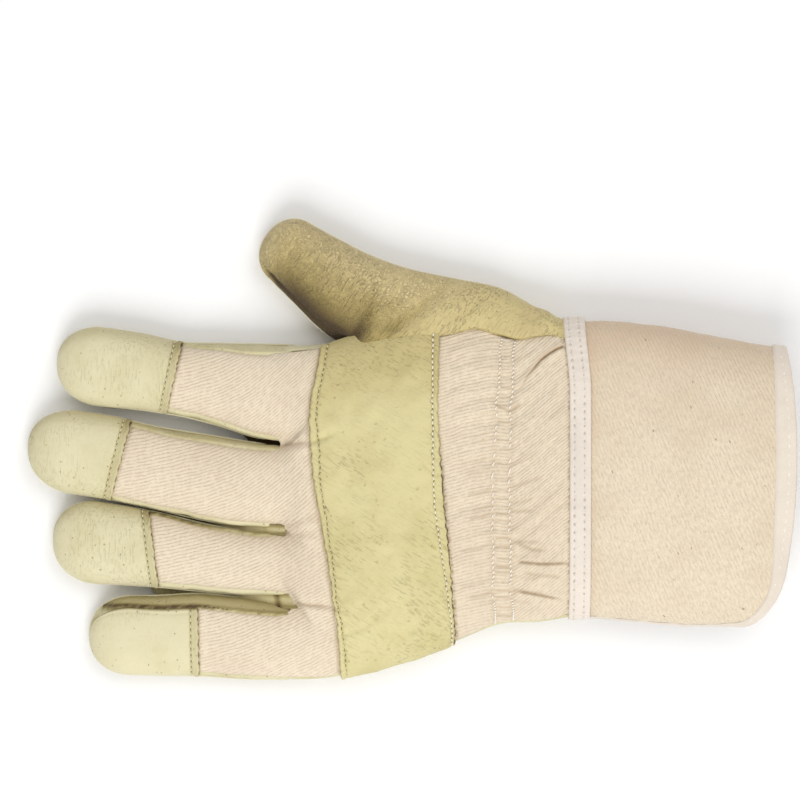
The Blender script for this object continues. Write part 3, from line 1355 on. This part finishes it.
def side_stitches(finger):
    """Brown thread along the seam between a wide side wall and the top of a finger."""
    x = np.linspace(-104, -49, 160)[:, None]
    high, _ = canvas_edges(finger, x)
    section = finger_section(finger, x)
    at = high + 0.25 + np.array([0.3, 0.0, -0.3])[None, :]
    y, z = oval(section, angle_of(section, at), 0.12)
    strip = joined(x, y, z)
    return stitches_along(*path_ups(strip), 1.5, 0.6)


def binding_stitches():
    """The row on the outer leg of the binding, beside its inner edge."""
    s, x = binding_path()
    inward = BINDING_ROW + np.array([-0.2, 0.0, 0.2])[None, :]
    strip = binding_place(s, x, np.broadcast_to(inward, (len(s), 3)), BINDING_THICK - 0.2)
    out = (strip[:, 1] - np.array([0, *GIRTH_PLACES.mean(axis=0)])) * [0, 1, 1]
    return stitches_along(*path_ups(strip, out), 3.2, 0.5)


# Materials


def node(tree, kind, inputs=None, **settings):
    """A new node; inputs maps a socket's name or number to a value or to another node's output."""
    made = tree.nodes.new("ShaderNode" + kind)
    for key, value in settings.items():
        setattr(made, key, value)
    for key, value in (inputs or {}).items():
        if isinstance(value, bpy.types.NodeSocket):
            tree.links.new(value, made.inputs[key])
        else:
            made.inputs[key].default_value = value
    return made


def sums(tree, operation, *values):
    """The output of a Math node."""
    return node(tree, "Math", dict(enumerate(values)), operation=operation).outputs[0]


def fit(tree, value, low, high, to_low=0.0, to_high=1.0):
    """The output of a Map Range node: a value's range smoothly changed to another."""
    inputs = {"Value": value, "From Min": low, "From Max": high, "To Min": to_low, "To Max": to_high}
    return node(tree, "MapRange", inputs, interpolation_type="SMOOTHSTEP").outputs[0]


def blend_colour(tree, share, first, second):
    """The output of a Mix node between two colours."""
    made = node(tree, "Mix", data_type="RGBA")
    for socket, value in ((made.inputs[0], share), (made.inputs[6], first), (made.inputs[7], second)):
        if isinstance(value, bpy.types.NodeSocket):
            tree.links.new(value, socket)
        else:
            socket.default_value = value
    return made.outputs[2]


def noise(tree, vector, scale, detail=2.0, roughness=0.5):
    """The value of a noise; scale is waves per metre."""
    inputs = {"Vector": vector, "Scale": scale, "Detail": detail, "Roughness": roughness}
    return node(tree, "TexNoise", inputs).outputs[0]


def scaled(tree, value, factor):
    """A value times a factor."""
    return sums(tree, "MULTIPLY", value, factor)


def added(tree, value, factor, other):
    """A value times a factor, plus another value."""
    return sums(tree, "MULTIPLY_ADD", value, factor, other)


def painted(tree, base, *coats):
    """Colours laid over a base colour; each coat is a share and a colour."""
    for share, colour in coats:
        base = blend_colour(tree, share, base, colour)
    return base


def new_group(name, inputs, make):
    """A shader node group with named inputs, vectors where they have no default; make builds its nodes and
    returns its outputs by name."""
    tree = bpy.data.node_groups.new(name, "ShaderNodeTree")
    for label, default in inputs:
        kind = "NodeSocketVector" if default is None else "NodeSocketFloat"
        made = tree.interface.new_socket(label, in_out="INPUT", socket_type=kind)
        if default is not None:
            made.default_value = default
    outputs = make(tree, tree.nodes.new("NodeGroupInput").outputs)
    for label in outputs:
        tree.interface.new_socket(label, in_out="OUTPUT", socket_type="NodeSocketFloat")
    end = tree.nodes.new("NodeGroupOutput")
    for label, value in outputs.items():
        tree.links.new(value, end.inputs[label])


def twill_nodes(tree, inputs):
    """Twill: pale ribs with narrow furrows between them, broken along their length. Height is the relief,
    Furrow is 1 in a furrow, Fleck marks brown bits of seed, Mottle drifts slowly over the cloth and Grain
    is the speckle of its threads."""
    rotation = {"Vector": inputs["Cloth"], "Angle": inputs["Lean"]}
    turned = node(tree, "VectorRotate", rotation, rotation_type="Z_AXIS").outputs[0]
    split = node(tree, "SeparateXYZ", {"Vector": turned})
    phase = sums(tree, "DIVIDE", split.outputs[1], inputs["Pitch"])
    phase = added(tree, noise(tree, inputs["Cloth"], 160.0), 1.1, phase)
    wave = added(tree, sums(tree, "SINE", scaled(tree, phase, 2 * np.pi)), 0.5, 0.5)
    number = sums(tree, "FLOOR", sums(tree, "ADD", phase, 0.25))
    along = scaled(tree, split.outputs[0], 780.0)
    cell = node(tree, "CombineXYZ", {0: along, 1: scaled(tree, number, 7.3)}).outputs[0]
    broken = fit(tree, noise(tree, cell, 1.0, 1.0, 0.6), 0.42, 0.56, 0.1, 1.0)
    furrow = scaled(tree, fit(tree, wave, 0.5, 0.0), broken)
    thread = sums(tree, "SINE", scaled(tree, added(tree, along, 2.4, phase), 3.1))
    height = added(tree, furrow, -0.8, fit(tree, wave, 0.0, 0.7))
    height = added(tree, thread, 0.09, height)
    height = added(tree, noise(tree, inputs["Object"], 2600.0, 3.0, 0.7), 0.5, height)
    stretched = node(tree, "Mapping", {"Vector": turned, "Scale": (0.45, 1.0, 1.0)}).outputs[0]
    return {
        "Height": height,
        "Furrow": furrow,
        "Fleck": fit(tree, noise(tree, stretched, 760.0, 1.0), 0.73, 0.8),
        "Mottle": noise(tree, inputs["Object"], 38.0, 4.0, 0.6),
        "Grain": fit(tree, noise(tree, stretched, 1150.0, 2.0, 0.7), 0.4, 0.66),
    }


def shifted_by_noise(tree, place, at, scale, detail, reach):
    """A place moved by up to a reach in metres, by a coloured noise taken at another place."""
    warp = node(tree, "TexNoise", {"Vector": at, "Scale": scale, "Detail": detail}).outputs[1]
    shift = node(tree, "VectorMath", {0: warp, 1: (reach, reach, reach)}, operation="MULTIPLY").outputs[0]
    return node(tree, "VectorMath", {0: place, 1: shift}, operation="ADD").outputs[0]


def cells(tree, place, scale, feature):
    """The distance that a Voronoi texture gives."""
    return node(tree, "TexVoronoi", {"Vector": place, "Scale": scale}, feature=feature).outputs[0]


def stretched_place(tree, place, factor):
    """A place whose y counts less, so that what is drawn there comes out long."""
    return node(tree, "Mapping", {"Vector": place, "Scale": (1.0, factor, 1.0)}).outputs[0]


def grain_nodes(tree, inputs):
    """Leather: fine cells, sparse pores, thin creases that run along the turned y axis, a crumple of short
    dents, and slow mottling where it was tanned unevenly."""
    place = inputs["Object"]
    moved = shifted_by_noise(tree, place, place, 300.0, 2.0, 0.0016)
    cell_scale = sums(tree, "DIVIDE", 1.0, inputs["Size"])
    pores = cells(tree, moved, sums(tree, "DIVIDE", 1.0, inputs["Pore Size"]), "F1")
    pore = fit(tree, pores, 0.12, 0.07)
    rotation = {"Vector": place, "Angle": inputs["Turn"]}
    turned = node(tree, "VectorRotate", rotation, rotation_type="Z_AXIS").outputs[0]
    here = fit(tree, noise(tree, place, 45.0, 2.0), 0.42, 0.6, 0.3, 1.0)
    dashes = noise(tree, stretched_place(tree, turned, 0.13), 1600.0, 2.0)
    crease = scaled(tree, fit(tree, dashes, 0.52, 0.7), here)
    ragged = shifted_by_noise(tree, moved, place, 900.0, 3.0, 0.0022)
    edges = cells(tree, stretched_place(tree, ragged, 0.7), scaled(tree, cell_scale, 1.3), "DISTANCE_TO_EDGE")
    patchy = fit(tree, noise(tree, place, 420.0, 3.0, 0.6), 0.34, 0.62, 0.5, 0.9)
    folds = noise(tree, stretched_place(tree, turned, 0.35), 240.0, 4.0, 0.6)
    height = scaled(tree, noise(tree, place, 1500.0, 3.0, 0.6), 0.4)
    soft_cells = cells(tree, moved, cell_scale, "SMOOTH_F1")
    for value, factor in ((soft_cells, -0.5), (folds, 1.1), (pore, -0.8), (crease, -0.8)):
        height = added(tree, value, factor, height)
    return {
        "Height": height,
        "Pore": pore,
        "Mottle": noise(tree, place, 55.0, 5.0, 0.6),
        "Streak": folds,
        "Crease": crease,
        "Crumple": scaled(tree, fit(tree, edges, 0.3, 0.0), patchy),
    }


GROUPS = {
    "Twill": (("Cloth", None), ("Object", None), ("Pitch", 0.0014), ("Lean", 0.8)),
    "Leather Grain": (("Object", None), ("Size", 0.0011), ("Pore Size", 0.003), ("Turn", 0.0)),
}
GROUP_MAKERS = {"Twill": twill_nodes, "Leather Grain": grain_nodes}


def group_outputs(tree, name, inputs):
    """The outputs of one of the scene's node groups, which is made on first use."""
    if name not in bpy.data.node_groups:
        new_group(name, GROUPS[name], GROUP_MAKERS[name])
    return node(tree, "Group", inputs, node_tree=bpy.data.node_groups[name]).outputs


def new_material(name, roughness, sheen, specular=0.25):
    """A material with its Principled shader; sheen and specular stay on the shader's own sockets."""
    made = bpy.data.materials.new(name)
    made.use_nodes = True
    shader = made.node_tree.nodes["Principled BSDF"]
    shader.inputs["Roughness"].default_value = roughness
    shader.inputs["Specular IOR Level"].default_value = specular
    shader.inputs["Sheen Weight"].default_value = sheen
    shader.inputs["Sheen Roughness"].default_value = 0.6
    return made, made.node_tree, shader


def shade(colour, factor):
    """A colour made darker or lighter, as four numbers."""
    return (*[min(c * factor, 1.0) for c in colour[:3]], 1.0)


def tint(colour, other, share):
    """A colour part of the way to another."""
    return (*[a + (b - a) * share for a, b in zip(colour[:3], other)], 1.0)


def tone_of(tree):
    """The surface's own tone, the share of its darker colour."""
    return node(tree, "Attribute", attribute_name="tone").outputs["Fac"]


def finish_material(made, shader, base, height, depth, strength=0.9):
    """Links the base colour, and the relief of a height whose full depth is in metres."""
    links = made.node_tree.links
    links.new(base, shader.inputs["Base Color"])
    relief = node(made.node_tree, "Bump", {"Height": height, "Distance": depth, "Strength": strength})
    links.new(relief.outputs[0], shader.inputs["Normal"])
    return made


def twill_material(name, colour, soil, pitch, lean, furrows, fleck, grain=0.4):
    """Undyed twill: pale ribs, warmer furrows, a slow mottle and brown flecks, in the piece's cloth UV. Its
    tone brings in the soil colour."""
    made, tree, shader = new_material(name, 0.92, 0.2)
    places = node(tree, "TexCoord").outputs["Object"]
    cloth = node(tree, "UVMap", uv_map="cloth").outputs[0]
    twill = group_outputs(tree, "Twill", {"Cloth": cloth, "Object": places, "Pitch": pitch, "Lean": lean})
    base = painted(
        tree,
        tuple(colour),
        (fit(tree, twill["Mottle"], 0.4, 0.7, 0.0, 0.8), tint(shade(colour, 0.92), (0.80, 0.55, 0.38), 0.1)),
        (tone_of(tree), tuple(soil)),
        (scaled(tree, twill["Grain"], grain), shade(colour, 0.74)),
        (scaled(tree, twill["Furrow"], furrows), tint(shade(colour, 0.68), (0.56, 0.33, 0.14), 0.4)),
        (scaled(tree, twill["Fleck"], fleck), (0.19, 0.12, 0.07, 1.0)),
    )
    return finish_material(made, shader, base, twill["Height"], 0.00007)


def leather_material(name, colour, dark, size, pore_size, pore_dark, depth, creases, turn=0.0, far=None):
    """Soft leather: mottled between its colour and a darker one, with pores and fine creases. Its tone
    turns it amber and then dark brown. far is a direction, two distances along it, and the colour that it
    reaches at the second, where it is crumpled too by the given share."""
    made, tree, shader = new_material(name, 0.62, 0.1, 0.2)
    places = node(tree, "TexCoord").outputs["Object"]
    inputs = {"Object": places, "Size": size, "Pore Size": pore_size, "Turn": turn}
    grain = group_outputs(tree, "Leather Grain", inputs)
    base, height, crumple = tuple(colour), grain["Height"], 0.0
    if far is not None:
        direction, near_at, far_at, other, crumpled = far
        along = node(tree, "VectorMath", {0: places, 1: direction}, operation="DOT_PRODUCT").outputs["Value"]
        wobble = added(tree, grain["Mottle"], 0.03, -0.015)
        reached = fit(tree, sums(tree, "ADD", along, wobble), near_at, far_at)
        base = blend_colour(tree, reached, base, tuple(other))
        crumple = scaled(tree, scaled(tree, reached, crumpled), grain["Crumple"])
        height = added(tree, crumple, -2.0, height)
    tone = tone_of(tree)
    base = painted(
        tree,
        base,
        (fit(tree, grain["Mottle"], 0.4, 0.72, 0.0, 0.6), tuple(dark)),
        (fit(tree, grain["Streak"], 0.5, 0.74, 0.0, creases), shade(dark, 0.8)),
        (scaled(tree, grain["Crease"], 3 * creases), shade(dark, 0.66)),
        (crumple, tint(shade(dark, 0.62), (0.36, 0.17, 0.07), 0.4)),
        (fit(tree, tone, 0.0, 0.6, 0.0, 0.85), tint(shade(dark, 0.6), (0.42, 0.31, 0.05), 0.5)),
        (fit(tree, tone, 0.3, 1.0), (0.075, 0.045, 0.014, 1.0)),
        (scaled(tree, grain["Pore"], pore_dark), shade(dark, 0.35)),
    )
    tree.links.new(fit(tree, grain["Mottle"], 0.3, 0.7, 0.56, 0.74), shader.inputs["Roughness"])
    return finish_material(made, shader, base, height, depth)


def thread_material(name, colour):
    """Cotton thread or tape: fine threads and fuzz over one pale colour, darker where the tone says."""
    made, tree, shader = new_material(name, 0.9, 0.2)
    places = node(tree, "TexCoord").outputs["Object"]
    fuzz = noise(tree, places, 2400.0, 3.0, 0.7)
    worn = fit(tree, noise(tree, places, 60.0, 4.0, 0.6), 0.4, 0.7, 0.0, 0.7)
    base = painted(
        tree,
        tuple(colour),
        (worn, tint(shade(colour, 0.9), (0.6, 0.5, 0.4), 0.1)),
        (fit(tree, fuzz, 0.3, 0.7, 0.3, 0.0), shade(colour, 0.7)),
        (tone_of(tree), shade(colour, 0.45)),
    )
    return finish_material(made, shader, base, fuzz, 0.00012, 0.8)


def material(name):
    """A material of this scene by name, made on first use from the sidebar's colours. A thread's name is
    that of its colour."""
    found = bpy.data.materials.get(name)
    if found:
        return found
    look = bpy.context.scene.glove_colours
    soil = (0.24, 0.13, 0.035, 1.0)
    to_root = ((0, 1, 0), 0.008, 0.036, look.thumb_root, 0.0)
    to_tip = ((0.535, -0.845, 0), -0.032, -0.045, look.thumb_tip, 0.4)
    thumb_dark = tint(shade(look.thumb_tip, 0.84), (0.42, 0.26, 0.13), 0.3)
    cuff_soil = tint(shade(look.cuff, 0.78), (0.85, 0.42, 0.2), 0.22)
    # Colour, dark colour, size of cells, size of pores, their darkness, depth, creases, their turn, far end
    leathers = {
        "Pale Leather": (look.leather, look.leather_dark, 0.0010, 0.0026, 0.6, 0.0002, 0.015),
        "Strap Leather": (look.strap, look.strap_dark, 0.0010, 0.0045, 0.2, 0.0002, 0.1, 2.14, to_root),
        "Thumb Leather": (look.thumb, thumb_dark, 0.0015, 0.0028, 0.2, 0.0005, 0.13, 0.6, to_tip),
    }
    # Colour, soil, distance of ribs, their lean, darkness of furrows, flecks and grain
    twills = {
        "Twill Back": (look.twill, soil, 0.0012, 0.0, 0.5, 0.3),
        "Twill Wrist": (look.wrist, soil, 0.0012, 0.0, 0.42, 0.35),
        "Cuff Canvas": (look.cuff, cuff_soil, 0.0013, 1.17, 0.08, 0.65, 0.6),
    }
    if name in leathers:
        return leather_material(name, *leathers[name])
    if name in twills:
        return twill_material(name, *twills[name])
    return thread_material(name, getattr(look, name.lower().replace(" ", "_")))


# Sidebar, sizes and colours


def colour_property(name, description, default):
    """A colour that the sidebar shows."""
    settings = {"subtype": "COLOR", "size": 4, "min": 0, "max": 1}
    return FloatVectorProperty(name=name, description=description, default=default, **settings)


def size_property(name, description, default, low, high):
    """A size in mm that the sidebar shows."""
    return FloatProperty(name=name, description=f"{description}, in mm", default=default, min=low, max=high)


def srgb(red, green, blue):
    """A screen colour, 0 to 255, as the linear colour that a material takes."""
    share = np.array([red, green, blue]) / 255
    linear = np.where(share <= 0.04045, share / 12.92, ((share + 0.055) / 1.055) ** 2.4)
    return (*[float(c) for c in linear], 1.0)


class GloveSizes(bpy.types.PropertyGroup):
    """Sizes of cloth and thread."""

    thread_radius: size_property("Thread radius", "Half the thickness of the sewing thread", 0.3, 0.1, 0.6)
    leather_wall: size_property("Leather", "Thickness of the leather", 1.1, 0.5, 2)
    canvas_wall: size_property("Canvas", "Thickness of the twill", 0.9, 0.4, 2)
    camera_height: FloatProperty(
        name="Camera height",
        description="Height of the camera over the floor",
        default=1.7,
        min=0.3,
        max=4,
        unit="LENGTH",
    )


class GloveColours(bpy.types.PropertyGroup):
    """Colours of leather, cloth and thread."""

    leather: colour_property("Leather", "Fingers, fingertips and palm", srgb(218, 210, 173))
    leather_dark: colour_property("Leather, dark", "Darker places of the leather", srgb(200, 190, 145))
    strap: colour_property("Strap", "Knuckle strap", srgb(212, 202, 151))
    strap_dark: colour_property("Strap, dark", "Darker places of the strap", srgb(195, 182, 128))
    thumb: colour_property("Thumb", "Thumb leather at the wrist", srgb(206, 190, 136))
    thumb_root: colour_property("Thumb root", "Where thumb and strap run together", srgb(198, 183, 131))
    thumb_tip: colour_property("Thumb tip", "Thumb leather at its tip", srgb(221, 203, 149))
    twill: colour_property("Twill", "Canvas on the back of the hand and fingers", srgb(231, 216, 191))
    wrist: colour_property("Wrist", "Gathered canvas", srgb(229, 214, 189))
    cuff: colour_property("Cuff", "Cuff canvas", srgb(228, 213, 187))
    cotton_tape: colour_property("Tape", "Joining tape and binding", srgb(233, 222, 209))
    binding_tape: colour_property("Binding", "Tape folded over the cuff's edge", srgb(230, 218, 203))
    thread: colour_property("Thread", "Thread on cloth", srgb(248, 242, 231))
    leather_thread: colour_property("Leather thread", "Thread on leather", srgb(214, 205, 160))
    bright_thread: colour_property("Bright thread", "Row at the strap's wrist edge", srgb(240, 232, 208))
    brown_thread: colour_property("Brown thread", "Seam of the little finger", srgb(86, 66, 44))
    grey_thread: colour_property("Grey thread", "Rows of the joining tape", srgb(206, 195, 182))
    seam_edge: colour_property("Seam edge", "Thin edges of the seams", srgb(232, 225, 190))
    stitch_hole: colour_property("Stitch hole", "Holes at the ends of stitches", srgb(140, 125, 78))


class GLOVE_OT_fingers(bpy.types.Operator):
    """Make the leather of the four fingers and the gussets between them"""

    bl_idname = "glove.fingers"
    bl_label = "Fingers"

    def execute(self, context):
        for name, finger in FINGERS.items():
            grid, tone = finger_sleeve(finger)
            made = surface(f"{name}_leather", [grid], context.scene.glove_sizes.leather_wall, tones=[tone])
            dress(made, material("Pale Leather"), "palm_leather", f"{name}_front")
        grids, tones = web_grids()
        webs = surface("finger_webs", grids, WEB_WALL, tones=tones, flips=[False] * 3)
        dress(webs, material("Pale Leather"), "palm_leather")
        return {"FINISHED"}


class GLOVE_OT_caps(bpy.types.Operator):
    """Make the leather caps over the fingertips"""

    bl_idname = "glove.caps"
    bl_label = "Fingertip caps"

    def execute(self, context):
        for name, finger in FINGERS.items():
            grid, tone = finger_cap(finger)
            made = surface(f"{name}_cap", [grid], context.scene.glove_sizes.leather_wall, tones=[tone])
            dress(made, material("Pale Leather"), "palm_leather", f"{name}_tip_cap")
        return {"FINISHED"}


class GLOVE_OT_back(bpy.types.Operator):
    """Make the twill over the fingers and the back of the hand"""

    bl_idname = "glove.back"
    bl_label = "Canvas back"

    def execute(self, context):
        grids, tones = canvas_grids()
        ribs = [twill_flat(grid) for grid in grids]
        made = surface("canvas_back", grids, context.scene.glove_sizes.canvas_wall, ribs, tones)
        dress(made, material("Twill Back"), "twill", "back_canvas")
        return {"FINISHED"}


class GLOVE_OT_palm(bpy.types.Operator):
    """Make the palm leather and the thumb leather"""

    bl_idname = "glove.palm"
    bl_label = "Palm and thumb"

    def execute(self, context):
        palm = surface("palm", [palm_grid()], context.scene.glove_sizes.leather_wall)
        dress(palm, material("Pale Leather"), "palm_leather", "palm_leather")
        grid, tone = thumb_grid()
        thumb = surface("thumb", [grid], context.scene.glove_sizes.leather_wall, tones=[tone])
        dress(thumb, material("Thumb Leather"), "thumb_leather", "thumb_leather")
        return {"FINISHED"}


class GLOVE_OT_welts(bpy.types.Operator):
    """Make the thin pale seam edges round the fingers and the thumb"""

    bl_idname = "glove.welts"
    bl_label = "Seam edges"

    def execute(self, context):
        paths = [finger_welt(finger) for name, finger in FINGERS.items() if name != "index"]
        paths = [finger_welt(FINGERS["index"], thumb_from=-40.0), *paths, thumb_welt()]
        made = surface("seam_edges", [welt_grid(path) for path in paths])
        dress(made, material("Seam Edge"), "palm_leather")
        return {"FINISHED"}


class GLOVE_OT_strap(bpy.types.Operator):
    """Make the leather strap over the knuckles"""

    bl_idname = "glove.strap"
    bl_label = "Knuckle strap"

    def execute(self, context):
        grid, tone = strap_grid()
        made = surface("strap", [np.swapaxes(grid, 0, 1)], STRAP_WALL, tones=[tone.T])
        dress(made, material("Strap Leather"), "strap_leather", "knuckle_strap")
        return {"FINISHED"}


class GLOVE_OT_wrist(bpy.types.Operator):
    """Make the gathered canvas of the wrist"""

    bl_idname = "glove.wrist"
    bl_label = "Gathered wrist"

    def execute(self, context):
        grid, ribs, tone = wrist_grid()
        made = surface("wrist", [grid], context.scene.glove_sizes.canvas_wall, [ribs], [tone])
        dress(made, material("Twill Wrist"), "twill", "wrist_gather")
        return {"FINISHED"}


class GLOVE_OT_cuff(bpy.types.Operator):
    """Make the stiff cuff, its binding and the joining tape"""

    bl_idname = "glove.cuff"
    bl_label = "Cuff and tapes"

    def execute(self, context):
        grid, pattern, tone = cuff_grid()
        cuff = surface("cuff_cloth", [grid], CUFF_WALL, [pattern], [tone])
        dress(cuff, material("Cuff Canvas"), "cuff_canvas", "cuff")
        fold, flat = binding_grid()
        binding = surface("binding", [fold], 0.0, [flat], flips=[True])
        dress(binding, material("Binding Tape"), "cotton_tape", "cuff_binding")
        band, tone = tape_grid()
        tape = surface("tape", [band], TAPE_WALL, tones=[tone])
        dress(tape, material("Cotton Tape"), "cotton_tape", "joining_tape")
        return {"FINISHED"}


class GLOVE_OT_stitches(bpy.types.Operator):
    """Sew every visible row of stitches"""

    bl_idname = "glove.stitches"
    bl_label = "Stitches"

    def execute(self, context):
        radius = context.scene.glove_sizes.thread_radius
        caps = [cap_stitches(finger) for finger in FINGERS.values()]
        front, back = strap_stitches("front_row", 0.5), strap_stitches("back_row", 0.66)
        elastic = [elastic_stitches("one"), elastic_stitches("two")]
        tape = [tape_stitches(TAPE_FROM + row, pitch) for row, pitch in zip(TAPE_ROWS, (2.8, 2.5))]
        holes = [hole_beads(*row) for row in (*caps, front, back)]
        # Each row has its thread's share of the radius and its rise in mm at the end
        for name, parts, finish, slot, thick, arch in (
            ("cap_stitches", caps, "Leather Thread", "palm_leather", 0.9, 0.3),
            ("side_stitches", [side_stitches(FINGERS["little"])], "Brown Thread", "palm_leather", 0.4, 0.04),
            ("strap_stitches_front", [front], "Leather Thread", "strap_leather", 0.85, 0.25),
            ("strap_stitches_back", [back], "Bright Thread", "strap_leather", 1.0, 0.4),
            ("elastic_stitches", elastic, "Thread", "cotton_tape", 0.95, 0.3),
            ("tape_stitches", tape, "Grey Thread", "cotton_tape", 1.1, 0.12),
            ("binding_stitches", [binding_stitches()], "Thread", "cotton_tape", 0.75, 0.12),
            ("stitch_holes", holes, "Stitch Hole", "palm_leather", 0.62, 0.06),
        ):
            starts, ends, ups = (np.concatenate([part[i] for part in parts]) for i in range(3))
            dress(thread_bits(name, starts, ends, ups, radius * thick, arch), material(finish), slot)
        return {"FINISHED"}


PIXEL = 0.3455  # mm a pixel of the photograph at the height of the glove's edges
PHOTO_WIDTH = 800 * PIXEL
PHOTO_CENTRE = (-11.5 * PIXEL, 50 * PIXEL)
EDGE_HEIGHT = 10.0
SENSOR = 36.0
FLOOR_REACH = 2.5


class GLOVE_OT_stage(bpy.types.Operator):
    """Lay a pale floor, set soft lights and put the camera straight above"""

    bl_idname = "glove.stage"
    bl_label = "Stage"

    def execute(self, context):
        scene = context.scene
        corners = [(x * FLOOR_REACH, y * FLOOR_REACH, 0) for x, y in ((-1, -1), (1, -1), (1, 1), (-1, 1))]
        mesh = bpy.data.meshes.new("floor")
        mesh.from_pydata(corners, [], [(0, 1, 2, 3)])
        floor = bpy.data.objects.new("floor", mesh)
        scene.collection.objects.link(floor)
        made, _, shader = new_material("Pale Floor", 0.9, 0.0, 0.1)
        shader.inputs["Base Color"].default_value = (0.95, 0.95, 0.95, 1.0)
        mesh.materials.append(made)
        for name, place, power, width in (
            ("key", (-0.1, -0.75, 0.9), 8.0, 0.7),
            ("fill", (0.35, 0.45, 1.0), 4.5, 0.9),
        ):
            light = bpy.data.lights.new(name, "AREA")
            light.energy = power
            light.size = width
            lamp = bpy.data.objects.new(name, light)
            lamp.location = place
            lamp.rotation_euler = (-lamp.location).to_track_quat("-Z", "Y").to_euler()
            scene.collection.objects.link(lamp)
        world = bpy.data.worlds.new("Soft Room")
        world.use_nodes = True
        world.node_tree.nodes["Background"].inputs["Color"].default_value = (1.0, 1.0, 1.0, 1.0)
        world.node_tree.nodes["Background"].inputs["Strength"].default_value = 0.5
        scene.world = world
        scene.view_settings.view_transform = "Standard"
        place_camera(scene)
        return {"FINISHED"}


def place_camera(scene):
    """Camera straight above: the lens frames PHOTO_WIDTH at EDGE_HEIGHT."""
    height = scene.glove_sizes.camera_height
    data = bpy.data.cameras.new("camera")
    data.sensor_width = SENSOR
    data.lens = SENSOR * (height / MM - EDGE_HEIGHT) / PHOTO_WIDTH
    camera = bpy.data.objects.new("camera", data)
    camera.location = ((PHOTO_CENTRE[0] + CENTRING[0]) * MM, (PHOTO_CENTRE[1] + CENTRING[1]) * MM, height)
    scene.collection.objects.link(camera)
    scene.camera = camera


PIECES = (
    GLOVE_OT_fingers,
    GLOVE_OT_caps,
    GLOVE_OT_back,
    GLOVE_OT_palm,
    GLOVE_OT_welts,
    GLOVE_OT_strap,
    GLOVE_OT_wrist,
    GLOVE_OT_cuff,
    GLOVE_OT_stitches,
    GLOVE_OT_stage,
)


class GLOVE_PT_panel(bpy.types.Panel):
    """Sizes, colours and pieces of the glove"""

    bl_label = "Work Glove"
    bl_idname = "GLOVE_PT_panel"
    bl_space_type = "VIEW_3D"
    bl_region_type = "UI"
    bl_category = "Work Glove"

    def draw(self, context):
        for group in (context.scene.glove_sizes, context.scene.glove_colours):
            for name in group.bl_rna.properties.keys():
                if name not in ("rna_type", "name"):
                    self.layout.prop(group, name)
        for kind in PIECES:
            self.layout.operator(kind.bl_idname)


CLASSES = (GloveSizes, GloveColours, *PIECES, GLOVE_PT_panel)


def register():
    """Add the classes, and the sizes and colours to the scene."""
    for kind in CLASSES:
        bpy.utils.register_class(kind)
    bpy.types.Scene.glove_sizes = PointerProperty(type=GloveSizes)
    bpy.types.Scene.glove_colours = PointerProperty(type=GloveColours)


def unregister():
    """Take away what register added."""
    del bpy.types.Scene.glove_colours
    del bpy.types.Scene.glove_sizes
    for kind in reversed(CLASSES):
        bpy.utils.unregister_class(kind)


def main():
    """Make every piece in order."""
    register()
    for kind in PIECES:
        group, name = kind.bl_idname.split(".")
        getattr(getattr(bpy.ops, group), name)()


if __name__ == "__main__":
    main()
